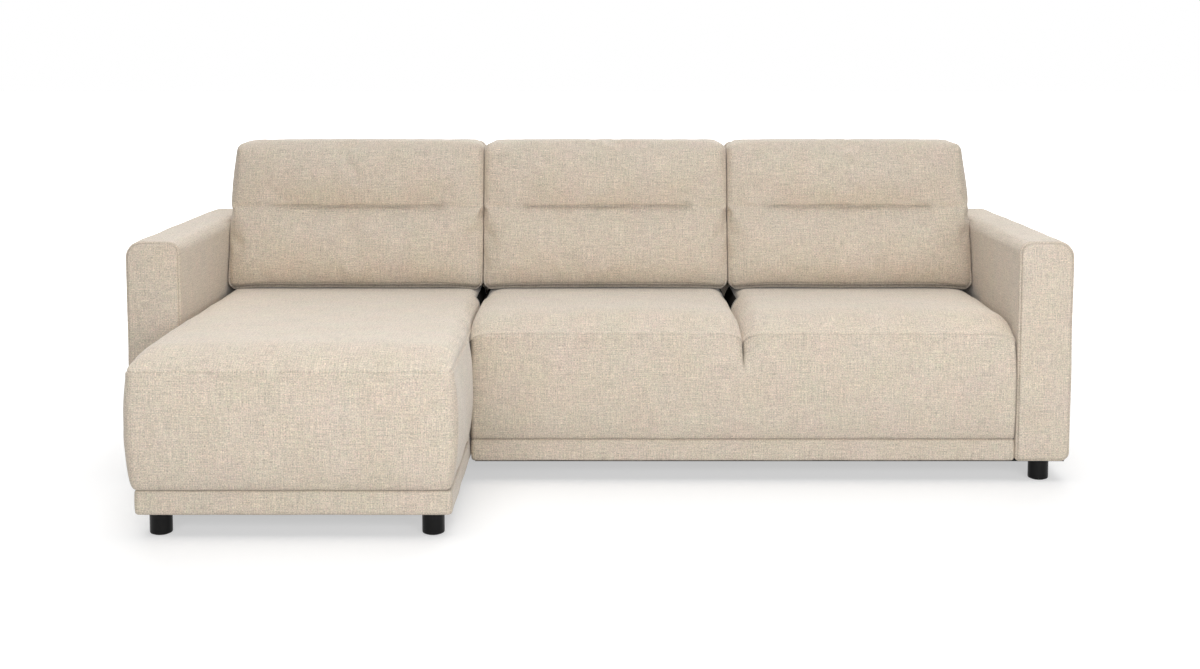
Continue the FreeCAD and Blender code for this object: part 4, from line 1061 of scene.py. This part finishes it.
def cushion(name, x0, x1, lean_in, seed):
    width, half, height = x1 - x0, CUSHION_THICKNESS / 2, CUSHION_HEIGHT
    centre = (x0 + x1) / 2
    reach = width * CHANNEL_REACH
    xs = lines([-width / 2, width / 2], 12, (-width / 2 + 8, width / 2 - 8), 2.2, 0.13)
    us = lines([-half, half], 12, (-half, half), 3.5, 0.15)
    vs = lines([0, CHANNEL, height], 12, (8, CHANNEL, height - 8), 1.9, 0.12)
    lat = Lattice(xs, us, vs)
    points = cushion_form(lat.p, width, lean_in)

    coarse = Lattice(
        np.linspace(-width / 2, width / 2, round(width / STUFFING_STEP) + 1),
        np.linspace(-half, half, round(2 * half / STUFFING_STEP) + 1),
        np.linspace(0, height, STUFFING_ROWS + 1),
    )
    form = cushion_form(coarse.p, width, lean_in)
    trial = mesh_object(name + "_stuffing", form, coarse)
    at_channel = np.abs(coarse.p[:, 2] - CHANNEL) < 1
    x_in = 1 - smooth(np.abs(coarse.p[:, 0]), reach - 20, reach + 8)
    line = coarse.on["front"] * at_channel * x_in
    held = np.maximum(np.maximum(line, coarse.on["rear"]), 0.9 * coarse.on["bottom"])
    moved = simulated(trial, held, MOST_SWELL)
    bpy.data.objects.remove(trial, do_unlink=True)
    points = points + carried(moved, coarse, lat)

    # Seams and creases go in after the stuffing, then the lean and the neighbours' pressure
    x, u, v = points.T
    z, in_front = lat.p[:, 2], lat.on["front"]
    n = normals_of(points, lat.quads)
    front = unit(-n[:, 1] * 2 - 0.4)
    run = 1 - smooth(np.abs(x), reach - 30, reach + 12)
    on_line = z - CHANNEL - 1.5 * ripple(lat.p * [1, 0, 0], 150, seed + 11)
    points[:, 1] += in_front * FOOT_IN * unit(1 - z / FOOT_REACH) ** 1.8
    depth = CHANNEL_GROOVE * bell(on_line, 3.2) * run * front
    depth -= 1.0 * bell(on_line + 10, 8) * run * front
    dimple = bell(np.abs(x) - reach, 20) * bell(on_line - 5, 12) * front
    depth += 2.5 * dimple
    seam = in_front * bell(z - SEAM_UP, 2.0)
    stitch = in_front * bell(z - STITCH_UP, 2.0)
    depth += SEAM_GROOVE * seam + STITCH_GROOVE * stitch
    pucker = ripple(points * [1, 1, 0.35], 40, seed + 60)
    depth -= 0.5 * pucker * front * (bell(on_line - 8, 24) * run + bell(v - 24, 18))
    depth -= 1.5 * ripple(points, 160, seed) * unit(-u / half)
    fan = ripple(np.stack([x * 0.25, 0 * x, v], 1), 26, seed + 30)
    depth -= 0.6 * fan * front * bell(np.abs(x) - reach - 18, 46) * bell(on_line - 10, 46)
    q = points - n * depth[:, None]
    corner = smooth(np.abs(x), width / 2 - 34, width / 2) * unit(1 - v / 32) ** 2
    q[:, 0] -= CORNER_IN * np.sign(x) * corner
    wobble = 1.8 * ripple(q * [1, 0, 0], 230, seed + 7) * smooth(v, height * 0.75, height)
    outer = smooth(np.abs(x) / (width / 2), 0.72, 1.0)
    droop = CORNER_DROOP * outer * smooth(v, 70, 0) * unit(-u / half)
    q[:, 2] += wobble
    q[:, 0] = np.clip(q[:, 0] + centre, x0 + 0.2, x1 - 0.2)
    q[:, 1] = np.minimum(q[:, 1], half)
    q[:, 2] = np.clip(q[:, 2], 0, height + 8) - droop
    y = CUSHION_REAR - half + q[:, 1] + np.maximum(q[:, 2], 0) * LEAN
    placed = np.stack([q[:, 0], y, CUSHION_BASE + q[:, 2]], 1)
    # Painted shade: darker along the tuck, the seams and the dimples at the tuck's ends, on the
    # bottom edge where it faces down, and towards the bottom of the front
    painted_shade = 0.24 * bell(on_line, 2.4) * run * front + 0.26 * seam + 0.3 * stitch + 0.12 * dimple
    painted_shade += 0.8 * bell(v, 7) * unit(-n[:, 2] * 1.8)
    painted_shade += 0.26 * unit(1 - v / 62) ** 1.5 * in_front
    nodes = [name + "_cushion_cover", name + "_cushion_core"]
    piece = name + "_back_cushion"
    upholstered(piece, placed, lat, piece, nodes, painted_shade)


# The cloths inside and underneath: dust cloths, felt over the springs, and webbing in the backs


def flat_cloth(module, name, node, lattice, points, material, slot, **facts):
    """A sheet of the lattice at points, in place of the module's node of that kind."""
    obj = mesh_object(f"{module}_{name}", points, lattice)
    obj.data.materials.append(material)
    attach(obj, module + "_module")
    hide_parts(f"{module}_{node}")


def corners_of(node):
    low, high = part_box(node)
    return np.array(low) / MM, np.array(high) / MM


DUST_MARGIN = 12.0
DUST_SAG = 2.4


def dust_sheet(module):
    """The dust cloth under the base, its backrest and its arm: stapled, so it sags a little. In
    front of the arm it is only as wide as the base."""
    low, high = corners_of(module + "_dust_cover")
    rail_low, rail_high = corners_of(module + "_base_rails")
    width, length, _ = high - low
    step = Y_ARM + DUST_MARGIN
    stops = [low[1], step, high[1]] if low[1] < step - 1 else [low[1], high[1]]
    lat = Lattice(lines([low[0], high[0]], 40), lines(stops, 40), [0, 0.5, 1.0])
    x, y, z = lat.p.T.copy()
    narrow = 1 - smooth(y, step - 30, step)
    left = low[0] + narrow * (rail_low[0] - low[0])
    right = high[0] - narrow * (high[0] - rail_high[0])
    x = left + (x - low[0]) / width * (right - left)
    across = np.sin(math.pi * (x - left) / (right - left))
    along = np.sin(math.pi * (y - low[1]) / length)
    sag = DUST_SAG * unit(across * along) ** 0.5 + 0.5 * ripple(lat.p, 120, 71) * across * along
    points = np.stack([x, y, high[2] - 1.0 + 0.9 * z - sag], 1)
    bare = max(step - low[1], 0) * (width - (rail_high[0] - rail_low[0]))
    flat_cloth(
        module, "dust_cloth", "dust_cover", lat, points, DUST, "dust_cloth",
        flat=(width * MM, length * MM), held="stretched",
        rests_on=[module + "_base_rails"], area=(width * length - bare) * MM * MM,
    )


def spring_pad(module):
    """The felt laid over the springs."""
    low, high = corners_of(module + "_spring_felt")
    lat = Lattice(lines([low[0], high[0]], 30), lines([low[1], high[1]], 30), [0, 1.5, 3.0])
    points = lat.p.copy()
    points[:, 2] += low[2] - 0.2 - 0.5 * np.abs(ripple(lat.p, 90, 72)) * lat.on["top"]
    flat_cloth(
        module, "felt_pad", "spring_felt", lat, points, SPRING_FELT, "felt",
        flat=tuple((high - low)[:2] * MM), held="laid", rests_on=[module + "_springs"],
    )


STRAP_WIDTH = 50.0


def back_straps(module):
    """Two flat elastic straps across each backrest's frame, which lean with it."""
    low, high = corners_of(module + "_back_webbing")
    lean = math.atan(LEAN)
    first = low[2] + 0.4
    second = high[2] - 0.4 - STRAP_WIDTH * math.cos(lean)
    for name, bottom in (("lower", first), ("upper", second)):
        lat = Lattice(lines([low[0], high[0]], 20), [0, 1, 2.0], lines([0, STRAP_WIDTH], 6))
        x, thick, up = lat.p.T
        y = low[1] + (bottom - low[2]) * LEAN + 0.4 + thick * math.cos(lean) + up * math.sin(lean)
        z = bottom - thick * math.sin(lean) + up * math.cos(lean)
        y = y + 0.25 * ripple(lat.p * [1, 0, 1], 45, 73)
        points = np.stack([x, y, z], 1)
        flat_cloth(
            module, name + "_strap", "back_webbing", lat, points, WEBBING, "webbing",
            flat=(STRAP_WIDTH * MM, (high[0] - low[0]) * MM), held="stretched",
            rests_on=[module + "_back_ribs"],
        )


chaise_seat()
loveseat_seat()
arm("left", X_LEFT, "chaise")
arm("right", X_RIGHT_ARM, "loveseat")
backrest("chaise", X_LEFT_ARM + 0.4, X_JOIN - 4.0)
backrest("loveseat", X_JOIN + 4.0, X_RIGHT_ARM - 0.4)
band("chaise", X_LEFT_ARM + 9.0, X_JOIN - 1.5, Y_NOSE + 24.0)
band("loveseat", X_JOIN + 4.0, X_RIGHT_ARM - 0.6, Y_ARM + 10.0)
cushion("left", X_LEFT_ARM + 2.0, X_JOIN - 1.0, (15, 0), 1)
cushion("middle", X_JOIN + 1.0, X_SPLIT - 1.0, (1, 1), 2)
cushion("right", X_SPLIT + 1.0, X_RIGHT_ARM - 2.0, (0, 20), 3)
for module in ("chaise", "loveseat"):
    dust_sheet(module)
    spring_pad(module)
    back_straps(module)


# Floor, light and camera


WHITE = (1.0, 1.0, 1.0, 1.0)
FLOOR_GREY = (0.56, 0.56, 0.56, 1.0)
FLOOR_HALF_SIZE = 40.0
WORLD_STRENGTH = 0.1


def rays(m, *kinds):
    """1 for a ray of one of these kinds, otherwise 0."""
    path = m.node("LightPath")
    seen = 0.0
    for kind in kinds:
        seen = m.math("MAXIMUM", path.outputs[f"Is {kind} Ray"], seen)
    return seen


def floor():
    """A pale floor that glows in the picture alone: half as bright as white near the object, so
    that its shadow shows, and white further away."""
    mesh = bpy.data.meshes.new("studio_floor")
    size = FLOOR_HALF_SIZE
    corners = [(-size, -size, 0), (size, -size, 0), (size, size, 0), (-size, size, 0)]
    mesh.from_pydata(corners, [], [(0, 1, 2, 3)])
    in_scene("studio_floor", mesh)
    material = bpy.data.materials.new("studio_floor")
    material.use_nodes = True
    mesh.materials.append(material)
    m = Nodes(material.node_tree)
    m.tree.nodes.clear()
    place = m.node("NewGeometry").outputs["Position"]
    away = m.node("VectorMath", {"operation": "LENGTH"}, Vector=place).outputs["Value"]
    step = {"interpolation_type": "SMOOTHSTEP"}
    span = {"From_Min": 1.5, "From_Max": 3.4, "To_Min": 0.5, "To_Max": 1.0}
    fade = m.node("MapRange", step, Value=away, **span)
    glow = m.math("MULTIPLY", rays(m, "Camera", "Glossy"), fade.outputs[0])
    both = m.node("AddShader")
    m.feed(both.inputs[0], m.node("BsdfDiffuse", Color=FLOOR_GREY).outputs[0])
    m.feed(both.inputs[1], m.node("Emission", Color=WHITE, Strength=glow).outputs[0])
    m.node("OutputMaterial", Surface=both.outputs[0])


def world():
    """Dim light from all round, and a white background for the camera and in reflections."""
    backdrop = bpy.data.worlds.new("studio_world")
    bpy.context.scene.world = backdrop
    backdrop.use_nodes = True
    m = Nodes(backdrop.node_tree)
    m.tree.nodes.clear()
    choice = m.node("MixShader", Fac=rays(m, "Camera", "Glossy", "Transmission"))
    for n, strength in ((1, WORLD_STRENGTH), (2, 1.0)):
        light = m.node("Background", Color=WHITE, Strength=strength)
        m.feed(choice.inputs[n], light.outputs[0])
    m.node("OutputWorld", Surface=choice.outputs[0])


def lamp(data, place, way):
    """A lamp at a place that shines along way."""
    obj = in_scene(data.name, data)
    obj.location = place
    obj.rotation_mode = "QUATERNION"
    obj.rotation_quaternion = way.to_track_quat("-Z", "Y")


def soft_sun(name, azimuth, height, strength, width):
    """Light from that way round and up, in degrees, as wide in the sky as width."""
    data = bpy.data.lights.new(name, "SUN")
    data.energy = strength
    data.angle = math.radians(width)
    a, h = math.radians(azimuth), math.radians(height)
    way = Vector((-math.sin(a) * math.cos(h), math.cos(a) * math.cos(h), -math.sin(h)))
    lamp(data, (0, 0, 3), way)


def softbox(name, place, target, size, watts):
    data = bpy.data.lights.new(name, "AREA")
    data.shape = "RECTANGLE"
    data.size, data.size_y = size
    data.energy = watts
    lamp(data, place, Vector(target) - Vector(place))


def camera():
    data = bpy.data.cameras.new("camera")
    data.lens = 47.914
    data.sensor_width = 36.0
    data.shift_y = -0.1181
    obj = in_scene("camera", data)
    obj.location = (0.0, -4.3936, 1.1543)
    obj.rotation_euler = (math.radians(90 - 5.084), 0.0, 0.0)
    bpy.context.scene.camera = obj


floor()
world()
soft_sun("overhead", 0, 87, 1.38, 50)
soft_sun("rear", 180, 42, 1.8, 60)
softbox("front", (0.0, -4.6, 1.5), (0.0, 0.0, 0.4), (4.5, 1.6), 103)
softbox("right", (1.8, -3.0, 0.9), (0.5, 0.0, 0.3), (2.4, 1.2), 22)
camera()
bpy.context.scene.view_settings.view_transform = "Standard"
